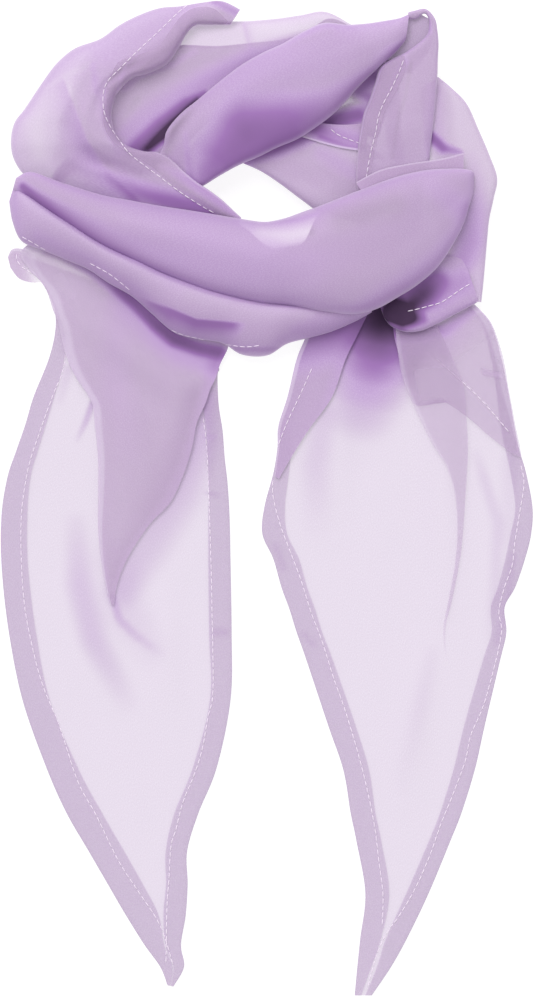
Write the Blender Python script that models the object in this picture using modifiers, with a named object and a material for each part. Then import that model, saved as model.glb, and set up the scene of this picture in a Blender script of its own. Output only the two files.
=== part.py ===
"""A chiffon neck scarf: one long bias strip with pointed ends, wound once round
and laid flat.  The wound ring lies at +Y, the two tails run towards -Y.

All tables are in millimetres in the part's own frame: X across, Y along the
scarf, Z up from the surface it lies on.  Each stretch of the cloth that shows
is a thin wall between a left and a right edge, both read along the stretch.
"""

import math
from collections import namedtuple

import bmesh
import bpy
from mathutils import Vector

# ---- driving dimensions ---------------------------------------------------
MM = 0.001
WALL = 1.2  # cloth wall, thicker than real chiffon so that it is a solid
HEM_WALL = 1.0  # the turned hem, laid on its panel
HEM_POINTS = 4  # section points that a roll's hem takes in
SEAM_GAP = 0.3  # between a hem and the panel under it
LIP_RADIUS = 3.0  # curl of a fold's edge
LIP_TURNS = (35, 65, 90)  # degrees round the curl
NARROW = 7.0  # half width below which a roll's edges hang straight down
FLATTEST = 0.35  # how square a low roll's section may get
LEAST_RISE = 2.4  # of a crown over its edges
ROUNDNESS = 1.3  # a crown's squareness lessens with this many times its slope
CROWN_STEPS = 8  # spans over a roll's crown
LAID_STEPS = 11  # spans across a panel that lies flat
HEM_STEPS = 2  # spans across a tail's hem
CORE_STEPS = 6  # spans over the packed inner layers
CORE_SQUARENESS = 0.6  # 1 is a round section, 0 a square one
FOLD_FADE = 0.08  # share of a fold's swell already there at its ends

Roll = namedtuple("Roll", "left_x left_y right_x right_y left_z right_z crown")
Laid = namedtuple("Laid", "left_x left_y right_x right_y left_z right_z")
Tail = namedtuple("Tail", "left_x left_y right_x right_y left_hem right_hem")
Core = namedtuple("Core", "x y width top")
Fold = namedtuple("Fold", "start_x start_y end_x end_y height half_width")
Crease = namedtuple("Crease", "start end across_start across_end depth half_width")

LILAC = (0.47, 0.33, 0.56)
PALE_LILAC = (0.62, 0.50, 0.68)
DEEP_LILAC = (0.30, 0.17, 0.40)

# ---- the wound ring: rows run along each roll ------------------------------
# front_roll crosses the front of the neck on top of all the others, from the
# left turn to its square end at the right
FRONT_ROLL = (
    Roll(-147, 196, -151, 186, 17, 15, 18),
    Roll(-140, 195, -142, 182, 19, 17, 25),
    Roll(-124, 190, -124, 169, 20, 18.5, 32),
    Roll(-100, 182, -100, 155, 20, 19.5, 36),
    Roll(-64, 175, -67, 139, 20, 20, 39),
    Roll(-28, 170, -34, 126, 21, 20, 41),
    Roll(-3, 166, -3, 119, 21, 20, 42),
    Roll(27, 173, 27, 116, 21, 19.5, 42),
    Roll(47, 181, 53, 115, 22, 18, 41),
    Roll(68, 189, 79, 121, 23, 18, 39),
    Roll(92, 196, 99, 134, 23, 17.5, 35),
    Roll(113, 197, 114, 154, 21, 18, 29),
    Roll(122, 196, 121, 176, 18, 17.5, 20),
)
# second_roll lies beside and below front_roll, its lower edge over the tails
SECOND_ROLL = (
    Roll(-155, 180, -155, 171, 8, 7, 9.5),
    Roll(-151, 182, -149.5, 161, 11, 7.5, 16),
    Roll(-142, 180.5, -142, 153, 13.5, 8, 22),
    Roll(-124, 167.5, -124, 145, 16, 8, 25),
    Roll(-100, 153.5, -100, 133, 16.5, 8, 27),
    Roll(-76, 142.5, -78, 118, 17, 8, 28),
    Roll(-52, 132, -55, 99, 17, 8, 28),
    Roll(-25, 123, -27, 93, 17, 8, 28),
    Roll(-3, 118, -3, 86, 17, 8, 27),
    Roll(20, 115, 20, 95, 16.5, 8, 24),
    Roll(44, 113.5, 44, 102, 14, 8, 18),
    Roll(60, 115, 62, 110, 10, 8, 12),
)
# left_band comes over from the top, bends round the left side and goes in
# under front_roll; its right edge is the hemmed one
LEFT_BAND = (
    Roll(-16, 293, -22, 284, 12, 14.5, 16.5),
    Roll(-27, 298, -36, 284, 13, 16, 20),
    Roll(-46, 296, -47, 281, 12, 18, 22),
    Roll(-70, 293, -57, 263, 11, 19, 25),
    Roll(-94, 280, -75, 254, 10, 20, 27),
    Roll(-117, 269, -87, 247, 9, 20, 28),
    Roll(-134, 250, -91, 238, 9, 20, 28),
    Roll(-148, 230, -90, 227, 9, 20, 27),
    Roll(-153, 215, -87, 218, 9, 20, 25),
    Roll(-150, 199, -82, 210, 8, 21, 20),
    Roll(-133, 184, -73, 207, 8, 22, 18.5),
    Roll(-106, 175, -61, 205, 9, 22, 18),
    Roll(-76, 169, -49, 193, 12, 21, 18),
    Roll(-49, 166, -37, 187, 13, 20, 17.5),
    Roll(-27, 165, -25, 176, 14, 18, 17),
    Roll(-17, 163, -16, 169, 15, 16, 16.5),
)
# back_band crosses the back of the neck under diagonal_roll
BACK_BAND = (
    Roll(-101, 239, -86, 208, 8, 8, 12),
    Roll(-89, 257, -75, 218, 7, 9, 14.5),
    Roll(-70, 272, -64, 228, 7, 10, 15),
    Roll(-52, 283, -46, 235, 6, 11, 15),
    Roll(-31, 286, -21, 244, 6, 11, 15),
    Roll(-5, 287, 7, 256, 6, 11, 15),
    Roll(20, 290, 31, 266, 6, 11, 14.5),
    Roll(35, 292, 47, 272, 7, 11, 13.5),
    Roll(51, 284, 57, 270, 8, 10, 12.5),
)
# diagonal_roll climbs from the left of the opening to the top right corner
DIAGONAL_ROLL = (
    Roll(-70, 203, -45, 184, 15.5, 15, 17),
    Roll(-61, 215, -33, 190, 17, 17, 21),
    Roll(-49, 231, -13, 202, 19, 19, 29),
    Roll(-31, 247, 8, 211, 20, 20, 33),
    Roll(-10, 263, 26, 220, 20, 20, 35),
    Roll(14, 274, 44, 233, 20, 20, 35),
    Roll(38, 283, 57, 248, 19, 20, 33),
    Roll(59, 284, 69, 260, 18, 20, 30),
    Roll(71, 286, 76, 264, 17.5, 19.5, 27),
    Roll(84, 289, 82, 272, 16.5, 18, 22.5),
)
# turned_band falls from the turn at the top right corner to front_roll
TURNED_BAND = (
    Roll(92, 292, 98, 292, 17, 17, 18),
    Roll(97, 285, 101, 283, 18, 17.5, 20),
    Roll(92, 274, 103, 272, 19, 18, 22),
    Roll(85, 262, 102, 259, 19, 18, 23),
    Roll(71, 252, 101, 248, 19, 18, 23.5),
    Roll(62, 239, 100, 235, 19, 18, 23.5),
    Roll(57, 224, 99, 218, 19, 18, 23),
    Roll(55, 209, 97, 205, 18, 17.5, 21),
    Roll(53, 194, 96, 193, 17, 17, 18.5),
    Roll(54, 184, 95, 184, 16, 16.5, 17.5),
)
# inner_band is the low stretch that edges the neck opening on the right
INNER_BAND = (
    Roll(-17, 205, -14, 201, 10, 10, 11),
    Roll(-3, 214, -3, 196, 11, 10, 14),
    Roll(14, 220, 9, 188, 11, 10, 15),
    Roll(33, 223, 21, 179, 11, 10, 15),
    Roll(51, 220, 33, 171, 11, 10, 15),
    Roll(65, 209, 51, 166, 10, 10, 14),
)
# outer_sheer is the thin outermost turn on the right, down to the right tail
OUTER_SHEER = (
    Roll(89, 246, 102, 252, 10, 9, 11.5),
    Roll(90, 235, 115, 242, 10.5, 8, 13.5),
    Roll(92, 220, 125, 227, 11, 8, 14),
    Roll(97, 203, 133, 206, 11, 8, 13.8),
    Roll(100, 185, 138, 191, 10, 8, 13),
    Roll(103, 167, 134, 172, 10, 8, 12),
    Roll(112, 152, 132, 154, 9, 7, 11),
    Roll(121, 138, 131, 139, 8.5, 7, 10),
    Roll(126, 124, 130, 124, 8, 7, 9),
)
# cuff is the hemmed mouth where the right tail comes out of the ring
CUFF = (
    Roll(69, 114, 74, 104, 9, 8.6, 11),
    Roll(82, 110, 83, 100, 9.5, 8.6, 12),
    Roll(92, 116, 97, 102, 10.2, 8.6, 12.6),
    Roll(100, 128, 110, 109, 10.2, 8.6, 12.6),
    Roll(108, 139, 119, 114, 9.5, 8.5, 12.2),
    Roll(114, 142, 125, 118, 9, 8.5, 11),
)
# inner_band_hem is the strip of hem that lies on inner_band under turned_band
INNER_BAND_HEM = (
    Laid(31, 225, 20, 217, 15.8, 15.8),
    Laid(41, 224, 33, 213, 15.8, 15.8),
    Laid(51, 224, 45, 210, 15.8, 15.8),
    Laid(61, 225, 59, 208, 15.8, 15.8),
)
# loop_back is the far side of the turn at the top right corner
LOOP_BACK = (
    Laid(84, 276, 89.7, 264, 14.4, 14.4),
    Laid(88, 283, 94.7, 272, 14.4, 14.4),
    Laid(93, 290, 99.7, 281, 14.4, 14.4),
)
# inner_layers: the packed layers inside the rolls, a closed ring
INNER_LAYERS = (
    Core(-3, 140, 22, 39.2),
    Core(27, 142, 26, 39),
    Core(59, 151, 26, 36.6),
    Core(83, 165, 18, 26),
    Core(87, 183, 10, 11),
    Core(79, 202, 10, 11),
    Core(76, 222, 10, 13),
    Core(75, 242, 10, 14),
    Core(70, 256, 9, 13),
    Core(60, 268, 7, 15),
    Core(47, 262, 8, 21),
    Core(28, 255, 14, 28),
    Core(8, 241, 16, 31.4),
    Core(-11, 229, 16, 29.1),
    Core(-31, 216, 12, 20),
    Core(-53, 203, 8, 11),
    Core(-80, 199, 10, 11),
    Core(-102, 204, 12, 11),
    Core(-119, 199, 10, 5),
    Core(-126, 188, 8, 4.5),
    Core(-117, 176, 8, 5),
    Core(-98, 168, 8, 9),
    Core(-80, 161, 10, 22),
    Core(-60, 154, 16, 31),
    Core(-31, 146, 18, 34),
)

# ---- the tails: rows run from the ring to the point -------------------------
LEFT_TAIL = (
    Tail(-124, 106, -32, 77, 12, 10),
    Tail(-128, 95, -30, 70, 12, 10),
    Tail(-132, 80, -29, 61, 13, 10),
    Tail(-140, 61, -29, 50, 14, 10),
    Tail(-150, 29, -26, 25, 13, 10),
    Tail(-158, -8, -23, -8, 15, 12),
    Tail(-159, -40, -22, -41, 16, 13),
    Tail(-155, -79, -22, -79, 16, 13),
    Tail(-146, -121, -22, -120, 16, 12),
    Tail(-132, -161, -31, -161, 20, 14),
    Tail(-112, -202, -45, -199, 21, 12),
    Tail(-96, -230, -49, -230, 21, 13),
    Tail(-82, -253, -49, -253, 18, 13),
    Tail(-69, -274, -52, -269, 9, 7),
    Tail(-62, -286, -51, -281, 5, 4),
    Tail(-59, -292, -56, -292, 1.2, 1.2),
)
RIGHT_TAIL = (
    Tail(31, 116, 119, 119, 0, 0),
    Tail(23, 96, 133, 107, 0, 0),
    Tail(18, 83, 139, 91, 0, 0),
    Tail(13, 61, 145, 64, 0, 0),
    Tail(7, 41, 149, 38, 0, 0),
    Tail(4, 16, 154, 19, 0, 0),
    Tail(-1, -5, 159, -4, 13, 10),
    Tail(-2, -21, 158, -21, 16, 12),
    Tail(4, -37, 154, -38, 16, 11),
    Tail(10, -55, 145, -58, 16, 9),
    Tail(14, -68, 143, -70, 16, 8),
    Tail(24, -97, 140, -94, 16, 9),
    Tail(37, -136, 131, -135, 16, 12),
    Tail(48, -175, 121, -173, 15, 12),
    Tail(54, -205, 109, -208, 15, 12),
    Tail(59, -236, 95, -241, 13, 13),
    Tail(56, -263, 82, -266, 11, 11),
    Tail(55, -283, 72, -284, 7, 7),
    Tail(53, -298, 62, -298, 3.5, 3.5),
)
# left_tail_gathers: the gathered layer that fans out of the ring over left_tail
LEFT_GATHERS = (
    Laid(-140, 155, -16, 98, 2, 3),
    Laid(-149, 146, -22, 92, 1.6, 3),
    Laid(-142, 136, -25, 88, 1.6, 3),
    Laid(-131, 127, -28, 81, 2, 3),
    Laid(-126, 113, -30, 74, 3, 3),
    Laid(-122, 94, -34, 67, 3.2, 3.2),
    Laid(-116, 73, -38, 55, 3.2, 3.2),
    Laid(-106, 58, -42, 43, 3.2, 3.2),
    Laid(-103, 44, -46, 29, 2.8, 2.8),
    Laid(-101, 23, -51, 13, 2.4, 2.4),
    Laid(-101, 2, -58, -2, 2.2, 2.2),
    Laid(-101, -19, -73, -20, 1.9, 1.9),
    Laid(-98, -41, -88, -42, 2, 2),
    Laid(-94, -55, -92, -55, 2.2, 2.2),
)
# left_tail_lobe: the end of a hem that sticks out on the left
LEFT_LOBE = (
    Laid(-136, 142, -133, 134, 0, 0),
    Laid(-142, 146, -137, 131, 0, 0),
    Laid(-148, 149, -145, 131, 0, 0),
    Laid(-153, 149, -150, 134, 0, 0),
    Laid(-155, 145, -154, 140, 0, 0),
)
# the right tail's edges turned in over it, left and right
RIGHT_LEFT_TURN = (
    Laid(31, 116, 63, 116, 3.6, 3.6),
    Laid(23, 96, 53, 97, 3.3, 3.3),
    Laid(18, 83, 46, 83, 2.6, 2.6),
    Laid(13, 61, 38, 61, 1.9, 1.9),
    Laid(7, 41, 25, 41, 1.9, 1.9),
    Laid(5, 26, 15, 26, 1.9, 1.9),
    Laid(4, 13, 7, 11, 1.9, 1.9),
)
RIGHT_RIGHT_TURN = (
    Laid(77, 116, 122, 119, 1.9, 1.9),
    Laid(76, 100, 133, 107, 1.9, 1.9),
    Laid(79, 86, 139, 91, 1.9, 1.9),
    Laid(83, 69, 142, 79, 1.9, 1.9),
    Laid(87, 58, 145, 68, 1.9, 1.9),
    Laid(104, 57, 147, 56, 1.9, 1.9),
    Laid(119, 50, 149, 44, 1.9, 1.9),
    Laid(133, 38, 151, 34, 1.9, 1.9),
    Laid(146, 27, 152, 26, 1.9, 1.9),
)
# right_tail_pleat: the long pleat that runs down the middle of the right tail
RIGHT_PLEAT = (
    Laid(77, 106, 101, 106, 3.6, 3.6),
    Laid(79, 86, 111, 83, 3.6, 3.6),
    Laid(83, 68, 117, 67, 3.6, 3.6),
    Laid(90, 52, 119, 50, 3.6, 3.6),
    Laid(100, 32, 120, 31, 2.8, 3.4),
    Laid(108, 19, 120, 17, 2.3, 2.6),
    Laid(113, 2, 119, 1, 2.1, 2.1),
    Laid(114, -19, 118, -20, 2, 2),
    Laid(113, -38, 116, -38, 1.9, 1.9),
    Laid(109, -61, 112, -61, 1.8, 1.8),
    Laid(106, -79, 107.5, -79, 1.7, 1.7),
)

# ---- folds ------------------------------------------------------------------
# ridges that lift every layer of a tail alike, along straight lines
LEFT_FOLDS = (
    Fold(-112, 114, -42, 60, 4.0, 20),
    Fold(-84, 70, -80, -10, 2.4, 20),
    Fold(-112, -45, -90, -120, 2.4, 18),
    Fold(-62, -50, -58, -130, 2.0, 16),
)
RIGHT_FOLDS = (
    Fold(42, 70, 36, -20, 2.6, 20),
    Fold(104, 70, 108, -60, 3.0, 20),
    Fold(92, -90, 82, -180, 2.2, 18),
)
# soft creases along the rolls; start, end along (0..1) and across (0..1)
FRONT_CREASES = (
    Crease(0.10, 0.55, 0.55, 0.78, 2.4, 0.16),
    Crease(0.50, 0.85, 0.35, 0.62, 1.8, 0.14),
    Crease(0.70, 1.00, 0.70, 0.85, 1.6, 0.12),
)
LEFT_CREASES = (
    Crease(0.35, 0.80, 0.55, 0.62, 2.2, 0.16),
    Crease(0.20, 0.55, 0.85, 0.80, 1.6, 0.12),
)
DIAGONAL_CREASES = (
    Crease(0.10, 0.60, 0.45, 0.55, 2.0, 0.18),
    Crease(0.45, 0.95, 0.80, 0.60, 1.4, 0.14),
)


def soft_bump(distance, half_width):
    """1 on the line, 0 from half_width on, with a smooth shoulder."""
    if distance >= half_width:
        return 0.0
    return math.cos(0.5 * math.pi * distance / half_width) ** 2


def along_line(point, start, end):
    """How far along the line the point lies, held to 0..1, and how far off it."""
    run = end - start
    share = max(0.0, min(1.0, (point - start).dot(run) / run.length_squared))
    return share, (point - start - run * share).length


def fold_lift(x, y, folds):
    """Height that the folds give at a place; each dies out at both ends."""
    place = Vector((x, y))
    lift = 0.0
    for fold in folds:
        start = Vector((fold.start_x, fold.start_y))
        end = Vector((fold.end_x, fold.end_y))
        share, off = along_line(place, start, end)
        swell = math.sin(math.pi * (FOLD_FADE + (1 - 2 * FOLD_FADE) * share))
        lift += fold.height * swell * soft_bump(off, fold.half_width)
    return lift


def crease_depth(along, across, creases):
    """How far the creases sink a roll's crown at (along, across)."""
    place = Vector((along, across))
    depth = 0.0
    for crease in creases:
        start = Vector((crease.start, crease.across_start))
        end = Vector((crease.end, crease.across_end))
        share, off = along_line(place, start, end)
        depth += crease.depth * math.sin(math.pi * share) * soft_bump(off, crease.half_width)
    return depth


def between(rows, steps, closed=False):
    """The rows with steps - 1 smooth ones worked out between each two."""
    count = len(rows)
    spans = count if closed else count - 1
    smooth = []
    for span in range(spans):
        if closed:
            quad = [rows[(span + k) % count] for k in (-1, 0, 1, 2)]
        else:
            quad = [rows[min(max(span + k, 0), count - 1)] for k in (-1, 0, 1, 2)]
        for step in range(steps):
            t = step / steps
            weights = (
                0.5 * (-t + 2 * t**2 - t**3),
                0.5 * (2 - 5 * t**2 + 3 * t**3),
                0.5 * (t + 4 * t**2 - 3 * t**3),
                0.5 * (-(t**2) + t**3),
            )
            mixed = [sum(w * row[c] for w, row in zip(weights, quad)) for c in range(len(rows[0]))]
            smooth.append(type(rows[0])(*mixed))
    if not closed:
        smooth.append(rows[-1])
    return smooth


def roll_section(row, along, creases, left_lip, right_lip):
    """One section over a roll: lip, crown, lip, from the left edge to the right."""
    left = Vector((row.left_x, row.left_y, row.left_z))
    right = Vector((row.right_x, row.right_y, row.right_z))
    half = 0.5 * (right - left).xy.length
    middle = 0.5 * (left + right)
    outward = Vector(((right - left).x, (right - left).y, 0)).normalized()
    rise = max(row.crown - middle.z, LEAST_RISE)
    square = max(FLATTEST, min(1.0, ROUNDNESS * rise / half))
    inturn = max(0.0, min(1.0, (half - NARROW) / NARROW))

    def lip(edge, direction):
        points = []
        for degrees in LIP_TURNS:
            turn = math.radians(degrees)
            inward = inturn * LIP_RADIUS * (1 - math.cos(turn))
            points.append(edge - direction * inward - Vector((0, 0, LIP_RADIUS * math.sin(turn))))
        return points

    section = list(reversed(lip(left, -outward))) if left_lip else []
    for step in range(CROWN_STEPS + 1):
        angle = math.pi * step / CROWN_STEPS
        side = -math.copysign(abs(math.cos(angle)) ** square, math.cos(angle))
        across = 0.5 + 0.5 * side
        sunk = crease_depth(along, across, creases) * math.sin(angle)
        point = left.lerp(right, across)
        point.z += rise * math.sin(angle) - sunk
        section.append(point)
    if right_lip:
        section += lip(right, outward)
    return section


def laid_section(row, folds, steps):
    """One section of a panel that lies flat but for its folds."""
    left = Vector((row.left_x, row.left_y, row.left_z))
    right = Vector((row.right_x, row.right_y, row.right_z))
    section = []
    for step in range(steps + 1):
        point = left.lerp(right, step / steps)
        point.z += fold_lift(point.x, point.y, folds)
        section.append(point)
    return section


def cloth_object(name, grid, colour, wall, upward):
    """A sheet through the grid's points, given its wall by Solidify.

    upward thickens the sheet away from the surface below, else inwards."""
    mesh = bpy.data.meshes.new(name)
    sheet = bmesh.new()
    rows = [[sheet.verts.new(point * MM) for point in section] for section in grid]
    for near, far in zip(rows, rows[1:]):
        for k in range(len(near) - 1):
            sheet.faces.new((near[k], near[k + 1], far[k + 1]))
            sheet.faces.new((near[k], far[k + 1], far[k]))
    sheet.normal_update()
    if sum(face.normal.z * face.calc_area() for face in sheet.faces) < 0:
        bmesh.ops.reverse_faces(sheet, faces=sheet.faces)
    sheet.to_mesh(mesh)
    sheet.free()
    cloth = bpy.data.objects.new(name, mesh)
    mesh.materials.append(chiffon(name, colour))
    scarf.objects.link(cloth)
    solid = cloth.modifiers.new("wall", "SOLIDIFY")
    solid.thickness = wall * MM
    solid.offset = 1.0 if upward else -1.0
    return cloth


def chiffon(name, colour):
    """Matt lilac cloth."""
    cloth = bpy.data.materials.new(name)
    cloth.use_nodes = True
    shader = cloth.node_tree.nodes["Principled BSDF"]
    shader.inputs["Base Color"].default_value = (*colour, 1)
    shader.inputs["Roughness"].default_value = 0.75
    shader.inputs["Metallic"].default_value = 0.0
    return cloth


def rolled(name, table, colour, steps=1, creases=(), left_lip=True, right_lip=True):
    """A stretch that is rolled: an arched wall with its edges curled under."""
    rows = between(table, steps)
    last = len(rows) - 1
    grid = [roll_section(row, k / last, creases, left_lip, right_lip) for k, row in enumerate(rows)]
    return cloth_object(name, grid, colour, WALL, upward=False)


def laid(name, table, colour, folds=(), steps=1, across=LAID_STEPS):
    """A stretch that lies on what is under it."""
    grid = [laid_section(row, folds, across) for row in between(table, steps)]
    return cloth_object(name, grid, colour, WALL, upward=True)


def tail_panel(name, table, colour, folds):
    """A tail's single layer, on the surface."""
    rows = [Laid(*row[:4], 0, 0) for row in table]
    return laid(name, rows, colour, folds)


def tail_hem(name, table, colour, folds, side):
    """The hem along one edge of a tail, made from the panel's edge moved up."""
    up = WALL + SEAM_GAP
    rows = []
    for row in table:
        left = Vector((row.left_x, row.left_y, up))
        right = Vector((row.right_x, row.right_y, up))
        inward = (right - left).normalized()
        if side == "left":
            rows.append(Laid(*left.xy, *(left + inward * row.left_hem).xy, up, up))
        else:
            rows.append(Laid(*(right - inward * row.right_hem).xy, *right.xy, up, up))
    grid = [laid_section(row, folds, HEM_STEPS) for row in rows]
    return cloth_object(name, grid, colour, HEM_WALL, upward=True)


def band_hem(name, table, colour, first, last, creases, side):
    """A hem on one edge of a roll, made from the roll's points moved out."""
    places = range(HEM_POINTS) if side == "left" else range(-HEM_POINTS, 0)
    grid = []
    for k in range(first, last + 1):
        section = roll_section(table[k], k / (len(table) - 1), creases, False, False)
        grid.append([moved_out(section, place % len(section)) for place in places])
    return cloth_object(name, grid, colour, HEM_WALL, upward=True)


def moved_out(section, place):
    """A section's point moved out from the roll by the seam gap."""
    before = section[max(place - 1, 0)]
    after = section[min(place + 1, len(section) - 1)]
    across = section[-1] - section[0]
    level = Vector((-across.y, across.x, 0))
    return section[place] + level.cross(before - after).normalized() * SEAM_GAP


def ring_core(name, table, colour):
    """The packed inner layers: a closed ring, round on top and flat below."""
    rows = between(table, 1, closed=True)
    count = len(rows)
    mesh = bpy.data.meshes.new(name)
    core = bmesh.new()
    loops = []
    for k, row in enumerate(rows):
        ahead, behind = rows[(k + 1) % count], rows[k - 1]
        run = Vector((ahead.x - behind.x, ahead.y - behind.y, 0)).normalized()
        side = Vector((run.y, -run.x, 0))
        loop = []
        for step in range(CORE_STEPS + 1):
            angle = math.pi * step / CORE_STEPS
            offset = side * (0.5 * row.width * math.cos(angle))
            height = row.top * math.sin(angle) ** CORE_SQUARENESS
            loop.append(core.verts.new((Vector((row.x, row.y, height)) + offset) * MM))
        loops.append(loop)
    for k in range(count):
        near, far = loops[k], loops[(k + 1) % count]
        for step in range(CORE_STEPS + 1):
            after = (step + 1) % (CORE_STEPS + 1)
            core.faces.new((near[step], near[after], far[after], far[step]))
    bmesh.ops.recalc_face_normals(core, faces=core.faces)
    core.to_mesh(mesh)
    core.free()
    ring = bpy.data.objects.new(name, mesh)
    mesh.materials.append(chiffon(name, colour))
    scarf.objects.link(ring)
    return ring


for leftover in list(bpy.data.objects):
    bpy.data.objects.remove(leftover)
scarf = bpy.data.collections.new("chiffon_scarf")
bpy.context.scene.collection.children.link(scarf)

ring_core("inner_layers", INNER_LAYERS, DEEP_LILAC)
rolled("front_roll", FRONT_ROLL, LILAC, creases=FRONT_CREASES)
rolled("second_roll", SECOND_ROLL, LILAC)
rolled("left_band", LEFT_BAND, LILAC, creases=LEFT_CREASES, right_lip=False)
rolled("back_band", BACK_BAND, PALE_LILAC)
rolled("diagonal_roll", DIAGONAL_ROLL, LILAC, creases=DIAGONAL_CREASES)
rolled("turned_band", TURNED_BAND, PALE_LILAC, left_lip=False)
rolled("inner_band", INNER_BAND, PALE_LILAC, steps=2)
rolled("outer_sheer", OUTER_SHEER, PALE_LILAC)
rolled("cuff", CUFF, LILAC, left_lip=False)
band_hem("left_band_hem", LEFT_BAND, PALE_LILAC, 1, 13, LEFT_CREASES, "right")
band_hem("turned_band_hem", TURNED_BAND, PALE_LILAC, 3, 8, (), "left")
laid("inner_band_hem", INNER_BAND_HEM, LILAC, across=3)
laid("loop_back", LOOP_BACK, PALE_LILAC, across=3)

tail_panel("left_tail", LEFT_TAIL, PALE_LILAC, LEFT_FOLDS)
tail_hem("left_tail_hem_left", LEFT_TAIL[1:], LILAC, LEFT_FOLDS, "left")
tail_hem("left_tail_hem_right", LEFT_TAIL[1:], LILAC, LEFT_FOLDS, "right")
laid("left_tail_gathers", LEFT_GATHERS, LILAC, LEFT_FOLDS)
laid("left_tail_lobe", LEFT_LOBE, LILAC, across=3)
tail_panel("right_tail", RIGHT_TAIL, PALE_LILAC, RIGHT_FOLDS)
tail_hem("right_tail_hem_left", RIGHT_TAIL[6:], LILAC, RIGHT_FOLDS, "left")
tail_hem("right_tail_hem_right", RIGHT_TAIL[6:], LILAC, RIGHT_FOLDS, "right")
laid("right_tail_left_turn", RIGHT_LEFT_TURN, LILAC, RIGHT_FOLDS, across=4)
laid("right_tail_right_turn", RIGHT_RIGHT_TURN, LILAC, RIGHT_FOLDS, across=5)
laid("right_tail_pleat", RIGHT_PLEAT, LILAC, RIGHT_FOLDS, across=3)
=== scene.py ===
import math
from collections import namedtuple

import bpy
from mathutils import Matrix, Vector, noise
from mathutils.bvhtree import BVHTree


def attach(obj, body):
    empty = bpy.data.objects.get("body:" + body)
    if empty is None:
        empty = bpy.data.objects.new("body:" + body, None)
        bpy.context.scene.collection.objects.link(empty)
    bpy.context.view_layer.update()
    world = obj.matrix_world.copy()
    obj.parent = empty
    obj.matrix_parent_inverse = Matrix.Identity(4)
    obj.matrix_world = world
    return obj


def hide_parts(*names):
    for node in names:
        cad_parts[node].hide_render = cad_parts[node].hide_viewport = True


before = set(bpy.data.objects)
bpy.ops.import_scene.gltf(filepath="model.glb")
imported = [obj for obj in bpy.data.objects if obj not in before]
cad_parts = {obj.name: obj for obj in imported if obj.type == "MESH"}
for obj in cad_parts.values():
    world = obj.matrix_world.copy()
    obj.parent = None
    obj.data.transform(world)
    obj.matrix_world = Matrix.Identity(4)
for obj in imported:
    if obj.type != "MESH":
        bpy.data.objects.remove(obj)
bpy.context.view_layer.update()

# ---------------------------------------------------------------------------
# The table it lies on, the light and the camera.  The scarf is laid out on a
# white light table, which glows a little, under a soft lamp that leans towards
# the ring's back, and is seen from straight above with a long lens.

WHITE = (1, 1, 1, 1)
TABLE_SIDE = 8.0
TABLE_DROP = 0.0006
TABLE_LOOK = {
    "Base Color": (0.25, 0.25, 0.25, 1), "Roughness": 0.9, "Specular IOR Level": 0.0,
    "Emission Color": WHITE, "Emission Strength": 0.83,
}
CAMERA_HEIGHT = 4.17
CAMERA_LENS = 250
CAMERA_SIGHT = 50
VIEW_CENTRE = (0.0003, -0.0006)
LAMP_POWER = 1.65
LAMP_SPREAD = 34
LAMP_FROM = (-0.20, 0.58, 0.85)
ROOM_LIGHT = 0.72
SHEETS_SEEN_THROUGH = 48

bpy.ops.mesh.primitive_plane_add(size=TABLE_SIDE, location=(0, 0, -TABLE_DROP))
table_top = bpy.context.object
table_top.name = "table_top"
acrylic = bpy.data.materials.new("light_table")
acrylic.use_nodes = True
for socket, setting in TABLE_LOOK.items():
    acrylic.node_tree.nodes["Principled BSDF"].inputs[socket].default_value = setting
table_top.data.materials.append(acrylic)

camera = bpy.data.objects.new("camera", bpy.data.cameras.new("camera"))
camera.data.lens = CAMERA_LENS
camera.data.clip_end = CAMERA_SIGHT
camera.location = (*VIEW_CENTRE, CAMERA_HEIGHT)
bpy.context.scene.collection.objects.link(camera)
bpy.context.scene.camera = camera

lamp = bpy.data.objects.new("back_lamp", bpy.data.lights.new("back_lamp", "SUN"))
lamp.data.energy = LAMP_POWER
lamp.data.angle = math.radians(LAMP_SPREAD)
lamp.rotation_euler = Vector(LAMP_FROM).to_track_quat("Z", "Y").to_euler()
bpy.context.scene.collection.objects.link(lamp)

world = bpy.data.worlds.new("studio")
world.use_nodes = True
world.node_tree.nodes["Background"].inputs["Color"].default_value = WHITE
world.node_tree.nodes["Background"].inputs["Strength"].default_value = ROOM_LIGHT
bpy.context.scene.world = world
bpy.context.scene.view_settings.view_transform = "Standard"
bpy.context.scene.cycles.transparent_max_bounces = SHEETS_SEEN_THROUGH

# ---------------------------------------------------------------------------
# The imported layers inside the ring.  Where the strip is wound it folds to and
# fro on itself, and these hidden folds carry the rolls that lie over them: one
# strip of the chiffon, folded like a fan and closed round the neck.

MM = 0.001
ONE_LAYER = 0.51  # how much light a single layer stops
STEEPEST = 0.6  # a sheet seen more on edge than this gets no denser

# PALE and SINGLE are lit and shaded copies of one lilac: PALE, lighter, is painted light for the rolled and
# folded pieces, making up for the shade their stacked sheets cast on one another; SINGLE is for flat single
# layers in full light.
PALE = (0.56, 0.42, 0.62)
SINGLE = (0.50, 0.38, 0.56)
MIDDLE = (0.475, 0.315, 0.585)
# DEEP and DARKEST are reached through many layers and through painted shade; DARKEST, near black, is painted
# shade in the deepest creases and hollows.
DEEP = (0.31, 0.155, 0.42)
DARKEST = (0.035, 0.012, 0.05)
WARM = (0.60, 0.36, 0.62)
THREAD_LIGHT = (0.72, 0.60, 0.78)
RIM_LIGHT = (0.80, 0.70, 0.86)

# The numbers of layers between which the lilac deepens from each to the next.
TO_MIDDLE = (1.2, 4.5)
TO_DEEP = (4.5, 9.0)
TO_DARKEST = (9.0, 20.0)

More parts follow.
